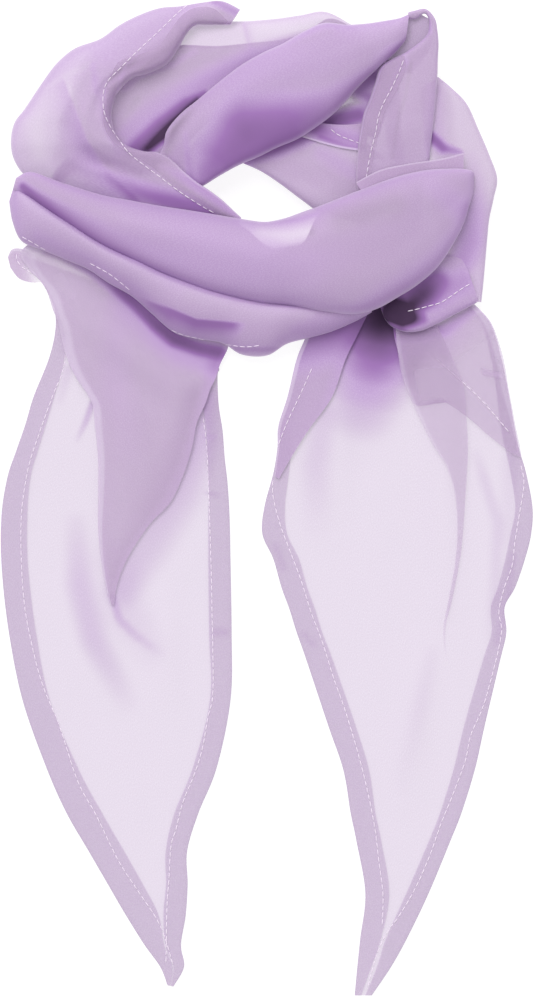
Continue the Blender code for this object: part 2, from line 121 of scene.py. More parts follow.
THREAD_SLANT = 38
THREAD_FINENESS = (1900, 1000, 1)
THREAD_LEAST, THREAD_SWING = 0.84, 0.32  # how dense it is between the threads and on them
THREAD_SHINE, SHINING = 0.3, (0.42, 0.7)
CLOUD_SCALE, CLOUD_SHARE = 45.0, 0.08
# RIM_LIGHT is a painted highlight; RIM_SHARE is how much of it the edges of rolls, folds and hems take.
RIM_SHARE = 0.45

# Places on the cloth are also given in squares of 0.6 mm, counted right and
# down from a corner of the table, wherever a fold's shade or a seam is placed.
SQUARE = 0.6
CORNER = (-160.2, 299.4)

Core = namedtuple("Core", "x y width top")

# A shade adds layers along a line: gathered cloth at folds, and painted shade in
# creases, hollows and where the ring casts its shadow; one that takes layers away thins
# a window, and elsewhere paints a highlight.  Its stops along the line are each (x, y,
# reach, layers) in squares and in the layers of cloth it adds.  LEFT or RIGHT in front
# of them keeps it to that side of the line.
BOTH, LEFT, RIGHT = 0, 1, -1
FOLD_BLUR = 2.0

PACKED_RING = (
    Core(-3, 140, 22, 36.5),
    Core(27, 142, 26, 36),
    Core(59, 151, 26, 33),
    Core(83, 165, 18, 23),
    Core(87, 183, 10, 10),
    Core(79, 202, 10, 10),
    Core(76, 222, 10, 12),
    Core(75, 242, 10, 13),
    Core(70, 256, 9, 12),
    Core(60, 268, 7, 14),
    Core(47, 262, 8, 19),
    Core(28, 255, 14, 26),
    Core(8, 241, 16, 29),
    Core(-11, 229, 16, 27),
    Core(-31, 216, 12, 18),
    Core(-53, 203, 8, 10),
    Core(-80, 199, 10, 10),
    Core(-102, 204, 12, 10),
    Core(-119, 199, 10, 4.5),
    Core(-126, 188, 8, 4),
    Core(-117, 176, 8, 4.5),
    Core(-98, 168, 8, 8),
    Core(-80, 161, 10, 20),
    Core(-60, 154, 16, 29),
    Core(-31, 146, 18, 32),
)
RING_STEPS = 6
PLIES = 7
PLY_STEPS = 8
LOWEST_PLY = 1.2
FAN_FOOT, FAN_TAPER = 1.15, 0.5  # its width at the foot, and what the top lacks of it
PLY_WIDTH, PLY_SWAY, SWAY_LENGTH = 0.92, 0.3, 24  # uneven from ply to ply
RIPPLE, RIPPLE_LENGTH = 0.5, 18
FOLD_VEIL, PLY_VEIL = 0.06, 0.5  # the layers at a fold, and what a ply's middle adds


class Value:
    """A shader socket that takes part in sums, products and powers."""

    def __init__(self, tree, socket):
        self.tree = tree
        self.socket = socket

    def worked(self, operation, *terms, clamp=False):
        node = self.tree.nodes.new("ShaderNodeMath")
        node.operation = operation
        node.use_clamp = clamp
        for socket, term in zip(node.inputs, terms):
            if isinstance(term, Value):
                self.tree.links.new(term.socket, socket)
            else:
                socket.default_value = term
        return Value(self.tree, node.outputs[0])

    def __add__(self, other):
        return self.worked("ADD", self, other)

    def __radd__(self, other):
        return self.worked("ADD", other, self)

    def __sub__(self, other):
        return self.worked("SUBTRACT", self, other)

    def __rsub__(self, other):
        return self.worked("SUBTRACT", other, self)

    def __mul__(self, other):
        return self.worked("MULTIPLY", self, other)

    def __rmul__(self, other):
        return self.worked("MULTIPLY", other, self)

    def __rpow__(self, other):
        return self.worked("POWER", other, self)

    def ramp(self, low, high):
        """0 at low, 1 at high."""
        return self.worked("MULTIPLY", self - low, 1 / (high - low), clamp=True)


class Finish:
    """A material in the making, with one method that adds any node."""

    def __init__(self, name):
        self.material = bpy.data.materials.new(name)
        self.material.use_nodes = True
        self.tree = self.material.node_tree
        self.shader = self.tree.nodes["Principled BSDF"]

    def put(self, socket, term):
        if isinstance(term, Value):
            self.tree.links.new(term.socket, socket)
        else:
            socket.default_value = term

    def node(self, kind, settings, sockets, output=0):
        node = self.tree.nodes.new(kind)
        for name, setting in settings.items():
            setattr(node, name, setting)
        for name, term in sockets.items():
            self.put(node.inputs[name], term)
        return Value(self.tree, node.outputs[output])

    def mix(self, share, one, other):
        sockets = {0: share, 6: one, 7: other}
        return self.node("ShaderNodeMix", {"data_type": "RGBA"}, sockets, output=2)

    def surface(self, **terms):
        for name, term in terms.items():
            self.put(self.shader.inputs[name.replace("_", " ")], term)


def chiffon(name, warmth=0.0, pale=PALE):
    """Crisp sheer cloth: fine crossed threads, a little cloudy, matt with a faint sheen.

    Its mesh's attribute called layers says how many layers of cloth a place has, with
    the painted shade and painted highlights of the shades added in; the more there are,
    the less comes through and the deeper the lilac, down to near black in painted shade.
    Its attribute called rim holds a painted highlight along edges."""
    cloth = Finish(name)
    place = cloth.node("ShaderNodeUVMap", {"uv_map": "cloth"}, {})
    bias = cloth.node(
        "ShaderNodeMapping", {"vector_type": "POINT"},
        {"Vector": place, "Rotation": (0, 0, math.radians(THREAD_SLANT)), "Scale": THREAD_FINENESS},
    )
    grain = cloth.node("ShaderNodeTexNoise", {}, {"Vector": bias, "Scale": 1.0, "Detail": 1.0})
    clouds = cloth.node(
        "ShaderNodeTexNoise", {}, {"Vector": place, "Scale": CLOUD_SCALE, "Detail": 2.0},
    )
    layers = cloth.node("ShaderNodeAttribute", {"attribute_name": "layers"}, {}, output=2)
    thread = THREAD_LEAST + THREAD_SWING * grain
    alpha = 1 - (1 - ONE_LAYER) ** (layers * thread)
    tint = cloth.mix(layers.ramp(*TO_MIDDLE), (*pale, 1), (*MIDDLE, 1))
    tint = cloth.mix(THREAD_SHINE * grain.ramp(*SHINING), tint, (*THREAD_LIGHT, 1))
    # From here on the deepening is mostly painted shade: where the shades paint creases and hollows dark, the
    # lilac goes deep and then near black.
    tint = cloth.mix(layers.ramp(*TO_DEEP), tint, (*DEEP, 1))
    tint = cloth.mix(layers.ramp(*TO_DARKEST), tint, (*DARKEST, 1))
    tint = cloth.mix(CLOUD_SHARE * clouds + warmth, tint, (*WARM, 1))
    # A painted highlight along the edges of the rolls, folds and hems, where the rim attribute is set.
    rim = cloth.node("ShaderNodeAttribute", {"attribute_name": "rim"}, {}, output=2)
    tint = cloth.mix(RIM_SHARE * rim, tint, (*RIM_LIGHT, 1))
    crisp = cloth.node(
        "ShaderNodeBump", {}, {"Strength": 0.1, "Distance": 0.0003, "Height": grain},
    )
    cloth.surface(
        Base_Color=tint, Alpha=alpha, Normal=crisp, Roughness=0.65,
        Sheen_Weight=0.12, Sheen_Roughness=0.4, Specular_IOR_Level=0.2,
    )
    return cloth.material


def between(rows, steps, closed=False):
    """The rows with steps - 1 smooth ones worked out between each two."""
    count = len(rows)
    smooth = []
    for span in range(count if closed else count - 1):
        if closed:
            quad = [rows[(span + k) % count] for k in (-1, 0, 1, 2)]
        else:
            quad = [rows[min(max(span + k, 0), count - 1)] for k in (-1, 0, 1, 2)]
        for step in range(steps):
            t = step / steps
            weights = (
                0.5 * (-t + 2 * t**2 - t**3),
                0.5 * (2 - 5 * t**2 + 3 * t**3),
                0.5 * (t + 4 * t**2 - 3 * t**3),
                0.5 * (-(t**2) + t**3),
            )
            mixed = [sum(w * value for w, value in zip(weights, column)) for column in zip(*quad)]
            smooth.append(type(rows[0])(*mixed))
    if not closed:
        smooth.append(rows[-1])
    return smooth


def eased(share):
    """0 to 1 with soft ends."""
    share = max(0.0, min(1.0, share))
    return share * share * (3 - 2 * share)


def soft_bump(distance, half_width):
    """1 on the line, 0 from half_width on, with a smooth shoulder."""
    if distance >= half_width:
        return 0.0
    return math.cos(0.5 * math.pi * distance / half_width) ** 2


def on_cloth(x, y):
    """A place in squares, as millimetres on the table."""
    return Vector((CORNER[0] + SQUARE * x, CORNER[1] - SQUARE * y))


def shaded(x, y, chains):
    """The layers that the shades add at a place in millimetres: gathered cloth, painted shade and painted
    highlights.
    """
    extra = 0.0
    for side, low_x, low_y, high_x, high_y, stops in chains:
        if not (low_x < x < high_x and low_y < y < high_y):
            continue
        strongest = 0.0
        for (start, reach, layers), (end, next_reach, next_layers) in zip(stops, stops[1:]):
            run = end - start
            offset = Vector((x, y)) - start
            share = max(0.0, min(1.0, offset.dot(run) / run.length_squared))
            reach += (next_reach - reach) * share
            amount = layers + (next_layers - layers) * share
            amount *= soft_bump((offset - run * share).length, reach)
            if side:
                to_the_left = (run.x * offset.y - run.y * offset.x) / run.length
                amount *= eased(0.5 + side * to_the_left / FOLD_BLUR)
            if abs(amount) > abs(strongest):
                strongest = amount
        extra += strongest
    return extra


def cloth_piece(
    name, grid, material, weights, shades=(), shade_on=None, rims=None, closed=False, fade=None,
):
    """One sheet through the grid's points, in millimetres, smooth, with its own cloth map.

    weights gives the layers in each column, shade_on how far each column takes the
    shades with their painted shade and highlights, rims the columns that get a painted
    highlight along an edge, and fade thins it along its rows."""
    count = len(grid)
    wide = len(grid[0])
    points = [point * MM for section in grid for point in section]
    faces = []
    for k in range(count if closed else count - 1):
        near, far = k * wide, ((k + 1) % count) * wide
        for j in range(wide - 1):
            faces.append((near + j, near + j + 1, far + j + 1, far + j))
    mesh = bpy.data.meshes.new(name)
    mesh.from_pydata(points, [], faces)
    if sum(face.normal.z * face.area for face in mesh.polygons) < 0:
        mesh.flip_normals()
    mesh.polygons.foreach_set("use_smooth", [True] * len(mesh.polygons))

    run = 0.0
    cloth_map = []
    for k, section in enumerate(grid):
        if k:
            run += (section[wide // 2] - grid[k - 1][wide // 2]).length
        across = 0.0
        for j, point in enumerate(section):
            if j:
                across += (point - section[j - 1]).length
            cloth_map.append((across * MM, run * MM))
    layer = mesh.uv_layers.new(name="cloth")
    for loop in mesh.loops:
        layer.data[loop.index].uv = cloth_map[loop.vertex_index]

    chains = []
    for shade in shades:
        side, stops = (shade[0], shade[1:]) if shade[0] in (LEFT, RIGHT) else (BOTH, shade)
        stops = [(on_cloth(x, y), SQUARE * reach, amount) for x, y, reach, amount in stops]
        edges = [limit(stop[0][axis] + sign * stop[1] for stop in stops)
                 for limit, sign in ((min, -1), (max, 1)) for axis in (0, 1)]
        chains.append((side, *edges, stops))
    for attribute in ("layers", "rim"):
        mesh.attributes.new(attribute, "FLOAT", "POINT")
    layers, rim = mesh.attributes["layers"], mesh.attributes["rim"]
    # Each place's layers are its cloth's layers, denser where it is seen on edge, with the shades' painted
    # shade and painted highlights added in.
    for vertex in mesh.vertices:
        row, column = divmod(vertex.index, wide)
        amount = weights[column] / max(abs(vertex.normal.z), STEEPEST)
        taken = shade_on[column] if shade_on else 1.0
        if taken:
            amount += taken * shaded(vertex.co.x / MM, vertex.co.y / MM, chains)
        if fade:
            amount *= fade(row / (count - 1))
        layers.data[vertex.index].value = max(amount, 0.0)
        if rims:
            rim.data[vertex.index].value = rims[column]
    mesh.materials.append(material)
    piece = bpy.data.objects.new(name, mesh)
    bpy.context.scene.collection.objects.link(piece)
    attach(piece, "root")
    return piece


def ply_stack(name, table, material):
    """A strip folded to and fro, ply over ply, round a ring; its folds thin out softly."""
    rows = between(table, RING_STEPS, closed=True)
    grid = []
    for k, row in enumerate(rows):
        ahead, behind = rows[(k + 1) % len(rows)], rows[k - 1]
        run = Vector((ahead.x - behind.x, ahead.y - behind.y, 0)).normalized()
        side = Vector((run.y, -run.x, 0))
        section = []
        for ply in range(PLIES):
            for step in range(PLY_STEPS + (ply == PLIES - 1)):
                share = (ply + step / PLY_STEPS) / PLIES
                height = LOWEST_PLY + (row.top - LOWEST_PLY) * share
                half = 0.5 * row.width * (FAN_FOOT - FAN_TAPER * share**3)
                patch = Vector((row.x / SWAY_LENGTH, row.y / SWAY_LENGTH, 7.0 * ply))
                half *= PLY_WIDTH + PLY_SWAY * noise.noise(patch)
                swing = -math.cos(math.pi * step / PLY_STEPS) * (1 if ply % 2 else -1)
                patch = Vector((row.x / RIPPLE_LENGTH, row.y / RIPPLE_LENGTH, 3.0 * share * PLIES))
                middle = Vector((row.x, row.y, height + RIPPLE * noise.noise(patch)))
                section.append(middle + side * half * swing)
        grid.append(section)
    columns = range(PLIES * PLY_STEPS + 1)
    weights = [FOLD_VEIL + PLY_VEIL * math.sin(math.pi * k / PLY_STEPS) ** 2 for k in columns]
    return cloth_piece(name, grid, material, weights, closed=True)


lilac_chiffon = chiffon("lilac_chiffon")
# The darker copy of the lilac, for the tails and the loop's far side; the lighter PALE of the others is
# painted light.
single_chiffon = chiffon("single_chiffon", pale=SINGLE)
hem_chiffon = chiffon("hem_chiffon", warmth=0.05)

packed = ply_stack("packed_layers", PACKED_RING, lilac_chiffon)
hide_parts("inner_layers")

# ---------------------------------------------------------------------------
# The left tail: a single layer of the strip that lies flat and runs to a point.
# Both long edges are turned over once and stitched down, so the sheet starts at
# the left hem's raw edge, goes round the edge, crosses, and turns in again.

Tail = namedtuple("Tail", "left_x left_y right_x right_y left_hem right_hem")
Trough = namedtuple("Trough", "start_x start_y end_x end_y depth half_width")

LEFT_TAIL = (
    Tail(-146.5, 146.5, -24, 102, 1, 1),
    Tail(-132.5, 126, -29, 90, 1, 1),
    Tail(-127, 112, -31, 83, 2, 2),
    Tail(-127, 99, -29, 78, 6, 6),
    Tail(-131, 83, -30, 74, 9, 8),
    Tail(-139.8, 61.2, -29.4, 57, 12, 9),
    Tail(-144.6, 45, -27, 40.8, 12, 9),
    Tail(-150, 29.4, -25.8, 25.2, 12.6, 10),
    Tail(-155.4, 13.2, -24, 9, 13.5, 11),
    Tail(-159, -9.6, -22.8, -12, 15.2, 12.4),
    Tail(-159, -39.6, -22.2, -41, 15.6, 13),
    Tail(-154.8, -78.6, -21.6, -80, 16, 13.2),
    Tail(-146.4, -120.6, -22.2, -120, 16, 12),
    Tail(-132, -161.4, -30.5, -161, 18.5, 14),
    Tail(-120, -188.4, -41.5, -188.4, 21, 14),
    Tail(-106.8, -211.2, -48.3, -211.2, 21, 12.5),
    Tail(-96, -229.8, -48, -231, 21, 12.6),
    Tail(-85.2, -248.4, -49.2, -250, 20, 13),
    Tail(-73.2, -267.6, -52, -267.6, 11.5, 9),
    Tail(-63.6, -281, -50.2, -280.8, 7, 6),
    Tail(-59.4, -292, -56.6, -292.6, 1.3, 1.3),
)
LEFT_FOLDS = (
    Trough(-112, 114, -42, 60, 4.0, 20),
    Trough(-84, 70, -80, -10, 2.4, 20),
    Trough(-112, -45, -90, -120, 2.4, 18),
    Trough(-62, -50, -58, -130, 2.0, 16),
)
LEFT_TAIL_SHADES = (
    ((200, 400, 26, 2.2), (194, 440, 34, 1.8), (176, 490, 40, 1.3), (146, 545, 36, 1.0), (122, 590, 26, 1.0)),
    ((116, 560, 32, 0.4), (125, 610, 34, 0.5), (150, 648, 28, 0.2)),
    ((113, 598, 6, 1.8), (119, 619, 7, 1.5), (134, 634, 7, 1.1), (153, 648, 7, 0.5), (168, 652, 5, 0.0)),
    ((92, 404, 5, 2.0), (86, 421, 5, 1.6), (77, 440, 4, 0.3)),
    ((76, 525, 18, 0.3), (80, 585, 22, 1.1), (94, 640, 22, 1.1), (126, 700, 18, 0.2)),
    ((68, 370, 9, 0.6), (60, 402, 7, 0.2)),
    ((205, 437, 4, 0.7), (215, 437, 4, 0.7)),
    ((206, 493, 4, 0.5), (217, 495, 4, 0.5)),
    ((214, 631, 4, 0.6), (226, 631, 4, 0.6)),
)
TAIL_STEPS = 10
HEM_STEPS = 4
PANEL_STEPS = 84
EDGE_STEPS = 4
EDGE_BULGE = 0.35
HEM_LIFT = 0.9
HEM_LAYERS = 1.25
PANEL_LIFT = 0.5
FOLD_TIP = 0.08  # how far into its swell a soft fold starts
WAVE_HEIGHT = 0.9
BROAD_WAVE, BROAD_WIDTH, BROAD_LENGTH = 0.8, 46, 70
FINE_WAVE, FINE_WIDTH, FINE_LENGTH = 0.22, 15, 24
CALM_STRIP, CALM = 14, 0.25  # along an edge the waves shrink to this share


def trough_lift(x, y, troughs):
    """Height that the soft folds give at a place; each dies out at both ends."""
    place = Vector((x, y))
    lift = 0.0
    for fold in troughs:
        start = Vector((fold.start_x, fold.start_y))
        run = Vector((fold.end_x, fold.end_y)) - start
        share = max(0.0, min(1.0, (place - start).dot(run) / run.length_squared))
        swell = math.sin(math.pi * (FOLD_TIP + (1 - 2 * FOLD_TIP) * share))
        off = (place - start - run * share).length
        lift += fold.depth * swell * soft_bump(off, fold.half_width)
    return lift


def gentle_waves(x, y, seed):
    """The slight unevenness of cloth that lies on a table."""
    broad = noise.noise(Vector((x / BROAD_WIDTH, y / BROAD_LENGTH, seed)))
    fine = noise.noise(Vector((x / FINE_WIDTH, y / FINE_LENGTH, seed + 5)))
    return WAVE_HEIGHT + BROAD_WAVE * broad + FINE_WAVE * fine


def turned_edge(width, bulge, lift, far=False):
    """Shares across and heights round an edge: down at the near one, up at the far one."""
    turns = [math.pi * k / EDGE_STEPS for k in range(EDGE_STEPS + 1)]
    if far:
        return [(1 + bulge * math.sin(t) / width, lift * 0.5 * (1 - math.cos(t))) for t in turns]
    return [(-bulge * math.sin(t) / width, lift * 0.5 * (1 + math.cos(t))) for t in turns]


def tail_grid(table, troughs, seed):
    """Sections of a tail: left hem, the turn of its edge, the panel, and back at the right."""
    grid = []
    for row in between(table, TAIL_STEPS):
        left = Vector((row.left_x, row.left_y, 0))
        right = Vector((row.right_x, row.right_y, 0))
        width = (right - left).length
        hem = range(1, HEM_STEPS + 1)
        shares = [(row.left_hem * (1 - k / HEM_STEPS) / width, HEM_LIFT) for k in range(HEM_STEPS)]
        shares += turned_edge(width, EDGE_BULGE, HEM_LIFT)
        shares += [(k / PANEL_STEPS, 0) for k in range(1, PANEL_STEPS)]
        shares += turned_edge(width, EDGE_BULGE, HEM_LIFT, far=True)
        shares += [(1 - row.right_hem * k / HEM_STEPS / width, HEM_LIFT) for k in hem]
        section = []
        for share, lift in shares:
            point = left.lerp(right, share)
            ease = eased(min(share, 1 - share) * width / CALM_STRIP)
            waves = gentle_waves(point.x, point.y, seed) * (CALM + (1 - CALM) * ease)
            point.z = PANEL_LIFT + lift + waves + trough_lift(point.x, point.y, troughs)
            section.append(point)
        grid.append(section)
    return grid


def tail(name, table, troughs, shades, seed):
    """A tail with both its hems."""
    grid = tail_grid(table, troughs, seed)
    hem = [HEM_LAYERS] * (HEM_STEPS + EDGE_STEPS)
    weights = hem + [1.0] * (len(grid[0]) - 2 * len(hem)) + hem
    return cloth_piece(name, grid, single_chiffon, weights, shades)


left_tail = tail("left_tail_cloth", LEFT_TAIL, LEFT_FOLDS, LEFT_TAIL_SHADES, 1.0)
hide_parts("left_tail", "left_tail_hem_left", "left_tail_hem_right")

# ---------------------------------------------------------------------------
# Stitches: pale thread, one straight row along each hem, about four
# millimetres to the stitch.  Each is a small rounded bead of thread that sinks
# a little into the cloth at both ends.

STITCH_PITCH = 4.2
STITCH_LENGTH = 3.3
STITCH_RADIUS = 0.27
STITCH_SIDES = 6
# The rings of a stitch: how far along it each lies, and whether it is at full size.
STITCH_RINGS = ((-0.5, False), (-0.25, True), (0.25, True), (0.5, False))
STITCH_TIP = 0.55  # an end's size beside the middle's
STITCH_RISE, STITCH_SINK = 0.28, 0.02  # over the cloth, at the middle and at the ends
ROUTE_STEPS = 10
ABOVE_ALL = 0.08
THREAD_DULL, THREAD_PALE = (0.78, 0.64, 0.82, 1), (0.98, 0.90, 0.98, 1)
FUZZ_SCALE = 2600.0

thread_finish = Finish("sewing_thread")
twist = thread_finish.node("ShaderNodeTexCoord", {}, {}, output=3)
fuzz = thread_finish.node("ShaderNodeTexNoise", {}, {"Vector": twist, "Scale": FUZZ_SCALE})
shade_of_thread = thread_finish.mix(fuzz, THREAD_DULL, THREAD_PALE)
thread_finish.surface(Base_Color=shade_of_thread, Roughness=0.55, Sheen_Weight=0.2)

Spot = namedtuple("Spot", "x y")


def surface_over(pieces):
    """A tree of the pieces' faces, to lay thread on."""
    points, faces = [], []
    for piece in pieces:
        base = len(points)
        points += [vertex.co.copy() for vertex in piece.data.vertices]
        faces += [[base + index for index in face.vertices] for face in piece.data.polygons]
    return BVHTree.FromPolygons(points, faces)


def stitch_row(name, route, pieces):
    """A row of stitches laid on the pieces along a route of (x, y) in squares."""
    cloth = surface_over(pieces)
    path = [on_cloth(*spot) for spot in between([Spot(*spot) for spot in route], ROUTE_STEPS)]
    points, faces = [], []
    travelled, due = 0.0, 0.5 * STITCH_PITCH
    for start, end in zip(path, path[1:]):
        step = (end - start).length
        while due < travelled + step:
            middle = start.lerp(end, (due - travelled) / step)
            due += STITCH_PITCH
            run = (end - start).normalized()
            rings = []
            for reach, full in STITCH_RINGS:
                spot = middle + run * STITCH_LENGTH * reach
                above = Vector((spot.x * MM, spot.y * MM, ABOVE_ALL))
                hit = cloth.ray_cast(above, Vector((0, 0, -1)))[0]
                if hit is None:
                    break
                rise = STITCH_RISE if full else STITCH_SINK
                rings.append((Vector((spot.x, spot.y, hit.z / MM + rise)), full))
            if len(rings) < len(STITCH_RINGS):
                continue
            side = Vector((-run.y, run.x, 0))
            first = len(points)
            for centre, full in rings:
                radius = STITCH_RADIUS * (1 if full else STITCH_TIP)
                for k in range(STITCH_SIDES):
                    turn = 2 * math.pi * k / STITCH_SIDES
                    offset = side * math.cos(turn) + Vector((0, 0, math.sin(turn)))
                    points.append((centre + offset * radius) * MM)
            last = len(points) - STITCH_SIDES
            for ring in range(first, last, STITCH_SIDES):
                for k in range(STITCH_SIDES):
                    a, b = ring + k, ring + (k + 1) % STITCH_SIDES
                    faces.append((a, b, b + STITCH_SIDES, a + STITCH_SIDES))
            faces.append([first + k for k in reversed(range(STITCH_SIDES))])
            faces.append([last + k for k in range(STITCH_SIDES)])
        travelled += step
    mesh = bpy.data.meshes.new(name)
    mesh.from_pydata(points, [], faces)
    mesh.polygons.foreach_set("use_smooth", [True] * len(mesh.polygons))
    mesh.materials.append(thread_finish.material)
    row = bpy.data.objects.new(name, mesh)
    bpy.context.scene.collection.objects.link(row)
    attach(row, "root")
    return row


LEFT_TAIL_STITCHES_LEFT = (
    (61, 326), (65, 354), (62, 373), (55, 390), (46, 414), (39, 434), (29, 465), (22, 507),
    (21, 550), (24, 601), (31, 641), (42, 683), (60, 728), (78, 782), (96, 815), (118, 860),
    (138, 891), (156, 918), (165, 938), (173, 965),
)
LEFT_TAIL_STITCHES_RIGHT = (
    (203, 417), (207, 450), (209, 500), (211, 563), (212, 610), (213, 690), (208, 717),
    (202, 750), (194, 775), (183, 802), (176, 829), (171, 846), (169, 878), (167, 907), (166, 960),
)
stitch_row("left_tail_stitches_left", LEFT_TAIL_STITCHES_LEFT, [left_tail])
stitch_row("left_tail_stitches_right", LEFT_TAIL_STITCHES_RIGHT, [left_tail])

# ---------------------------------------------------------------------------
# The right tail: the strip's other end, made like the left one.  Its hems show
# from the widest place down; above that the edges are turned in under the ring.

RIGHT_TAIL = (
    Tail(31, 116, 119, 119, 4, 4),
    Tail(23, 96, 133, 107, 5, 5),
    Tail(18, 83.4, 140.5, 84, 6, 6),
    Tail(12.6, 61.2, 145, 61.5, 7, 7),
    Tail(7.2, 43.8, 148, 44.5, 8, 8),
    Tail(6.6, 30.6, 151, 30, 8, 8),
    Tail(4.2, 15.6, 155.2, 15.5, 9, 9),
    Tail(-1.2, -4.8, 159, -5, 12, 10),
    Tail(-2.4, -21, 158.2, -21, 14.5, 12),
    Tail(4.2, -36, 154.5, -36, 15, 11.5),
    Tail(9, -52.8, 148.6, -53, 15, 10),
    Tail(13.8, -66, 142.3, -65, 15, 8),
    Tail(18, -79.5, 143.3, -80, 15, 8.5),
    Tail(24, -96.6, 139.5, -97, 15.5, 10),
    Tail(37.2, -136.2, 130.3, -136, 16, 12),
    Tail(46.2, -162.6, 124.5, -162, 15, 12.5),
    Tail(50.5, -188, 116.5, -188, 14.5, 12.5),
    Tail(54, -205, 109.8, -205, 14.5, 12.5),
    Tail(59.4, -236.4, 96.5, -237, 14, 13),
    Tail(56.4, -263.4, 83.5, -264, 12, 12),
    Tail(54.6, -280.8, 74, -281, 8, 8),
    Tail(53, -298, 62.5, -298, 3.5, 3.5),
)
RIGHT_FOLDS = (
    Trough(42, 70, 36, -20, 2.6, 20),
    Trough(104, 70, 108, -60, 3.0, 20),
    Trough(92, -90, 82, -180, 2.2, 18),
)
RIGHT_TAIL_SHADES = (
    # The first paints the shadow that the ring casts on the tail just below it, fading downwards.
    ((384, 300, 60, 20), (382, 322, 60, 19), (379, 340, 58, 13), (374, 358, 56, 8.5), (368, 380, 54, 4.2),
    (362, 404, 50, 1.6), (356, 440, 44, 0.1)),
    ((324, 416, 20, 0.7), (316, 465, 24, 0.6), (316, 525, 24, 0.1)),
    ((477, 455, 9, 0.2), (484, 478, 10, 0.5), (498, 522, 11, 0.5), (495, 595, 11, 0.35), (488, 640, 9, 0.05)),
    ((510, 460, 14, 0.3), (508, 540, 14, 0.2)),
    ((432, 655, 13, 0.15), (420, 705, 16, 0.28), (402, 785, 16, 0.05)),
    ((276, 545, 6, 0.4), (284, 568, 6, 0.4)),
    ((304, 633, 5, 0.35), (313, 645, 5, 0.35)),
    ((484, 372, 4, 1.0), (500, 376, 4, 1.0)),
    ((513, 556, 7, 0.4), (508, 596, 8, 0.5), (497, 642, 7, 0.3)),
)
RIGHT_TAIL_STITCHES_LEFT = (
    (273, 480), (273, 496), (280, 524), (290, 551), (301, 580), (311, 612), (322, 641),
    (334, 679), (345, 710), (358, 753), (368, 793), (375, 829), (379, 862), (383, 895), (382, 929),
)
RIGHT_TAIL_STITCHES_RIGHT = (
    (521, 465), (524, 484), (520, 511), (515, 542), (512, 566), (504, 589), (499, 612),
    (501, 637), (485, 701), (471, 735), (465, 762), (452, 797), (441, 824), (430, 855),
    (416, 887), (401, 913), (387, 933), (378, 951), (372, 971), (367, 991),
)

right_tail = tail("right_tail_cloth", RIGHT_TAIL, RIGHT_FOLDS, RIGHT_TAIL_SHADES, 9.0)
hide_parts("right_tail", "right_tail_hem_left", "right_tail_hem_right")
stitch_row("right_tail_stitches_left", RIGHT_TAIL_STITCHES_LEFT, [right_tail])
stitch_row("right_tail_stitches_right", RIGHT_TAIL_STITCHES_RIGHT, [right_tail])

# ---------------------------------------------------------------------------
# Cloth that lies over the tails near the ring: the left tail's gathered pleat
# and the lobe of hem beside it, and the right tail's turned-in edges and long
# pleat.  Each is a flat fold, two layers with a soft rounded edge.

Laid = namedtuple("Laid", "left_x left_y right_x right_y left_z right_z")

LEFT_GATHERS = (
    Laid(-140, 155, -16, 98, 3, 4),
    Laid(-148, 147, -22, 94, 2.6, 4),
    Laid(-142, 137, -24, 89, 2.6, 4),
    Laid(-133, 127, -28, 81, 3, 4),
    Laid(-128, 113, -30, 75, 4, 4),
    Laid(-125, 106, -31, 72, 4.2, 4.2),
    Laid(-121, 88, -34, 66, 4.2, 4.2),
    Laid(-115, 74, -37, 57, 4.2, 4.2),
    Laid(-105, 58, -42, 46, 4.2, 4.2),
    Laid(-103, 44, -45, 31, 3.8, 3.8),
    Laid(-101, 23, -50, 15, 3.4, 3.4),
    Laid(-101, 2, -58, -2, 3.2, 3.2),
    Laid(-101, -19, -71, -16, 2.9, 2.9),
    Laid(-99, -38, -84, -36, 2.6, 2.6),
    Laid(-96, -54, -90, -52, 2.4, 2.4),
    Laid(-93.5, -63, -91.8, -64, 2.4, 2.4),
)
GATHER_SHADES = (
    # The first two are the crevice under the second roll's lower edge: gathered cloth with painted shade on
    # it, near black at its deepest.
    ((26, 246, 5, 2.0), (60, 256, 6, 3.0), (90, 270, 8, 5.0), (112, 286, 10, 7.0), (134, 303, 11, 9.5),
    (156, 325, 12, 11.0), (174, 340, 12, 10.5), (200, 349, 12, 9.0), (220, 352, 12, 8.0)),
    ((116, 298, 16, 1.0), (150, 330, 22, 2.4), (182, 352, 24, 3.4), (216, 362, 26, 4.2)),
    ((217, 360, 16, 2.0), (211, 390, 16, 1.8), (203, 412, 14, 1.4), (194, 440, 12, 1.0), (186, 466, 12, 0.8),
    (170, 500, 12, 0.7), (153, 523, 11, 0.7), (130, 555, 10, 0.6), (116, 588, 7, 0.6)),
    ((66, 345, 12, 0.5), (72, 374, 14, 0.7), (84, 392, 14, 0.8), (94, 404, 12, 0.8), (96, 430, 10, 0.5),
    (98, 480, 10, 0.3), (100, 540, 8, 0.3), (108, 592, 6, 0.5)),
    ((122, 306, 26, 1.0), (116, 350, 32, 1.1), (118, 392, 32, 1.0), (128, 440, 30, 0.5), (120, 500, 20, 0.0)),
    ((160, 345, 30, 0.6), (165, 385, 32, 0.4), (150, 430, 32, 0.15), (130, 490, 30, 0.0)),
    ((60, 280, 22, -0.5), (84, 312, 20, -0.3)),
    ((120, 470, 24, -0.3), (122, 540, 18, -0.3)),
)
LEFT_LOBE = (
    Laid(-134, 144, -131, 132, 1, 1),
    Laid(-142, 148, -137, 130, 1, 1),
    Laid(-148, 150, -144, 130.5, 1, 1),
    Laid(-153, 149.5, -149.5, 133, 1, 1),
    Laid(-155.5, 145, -154, 139, 1, 1),
)
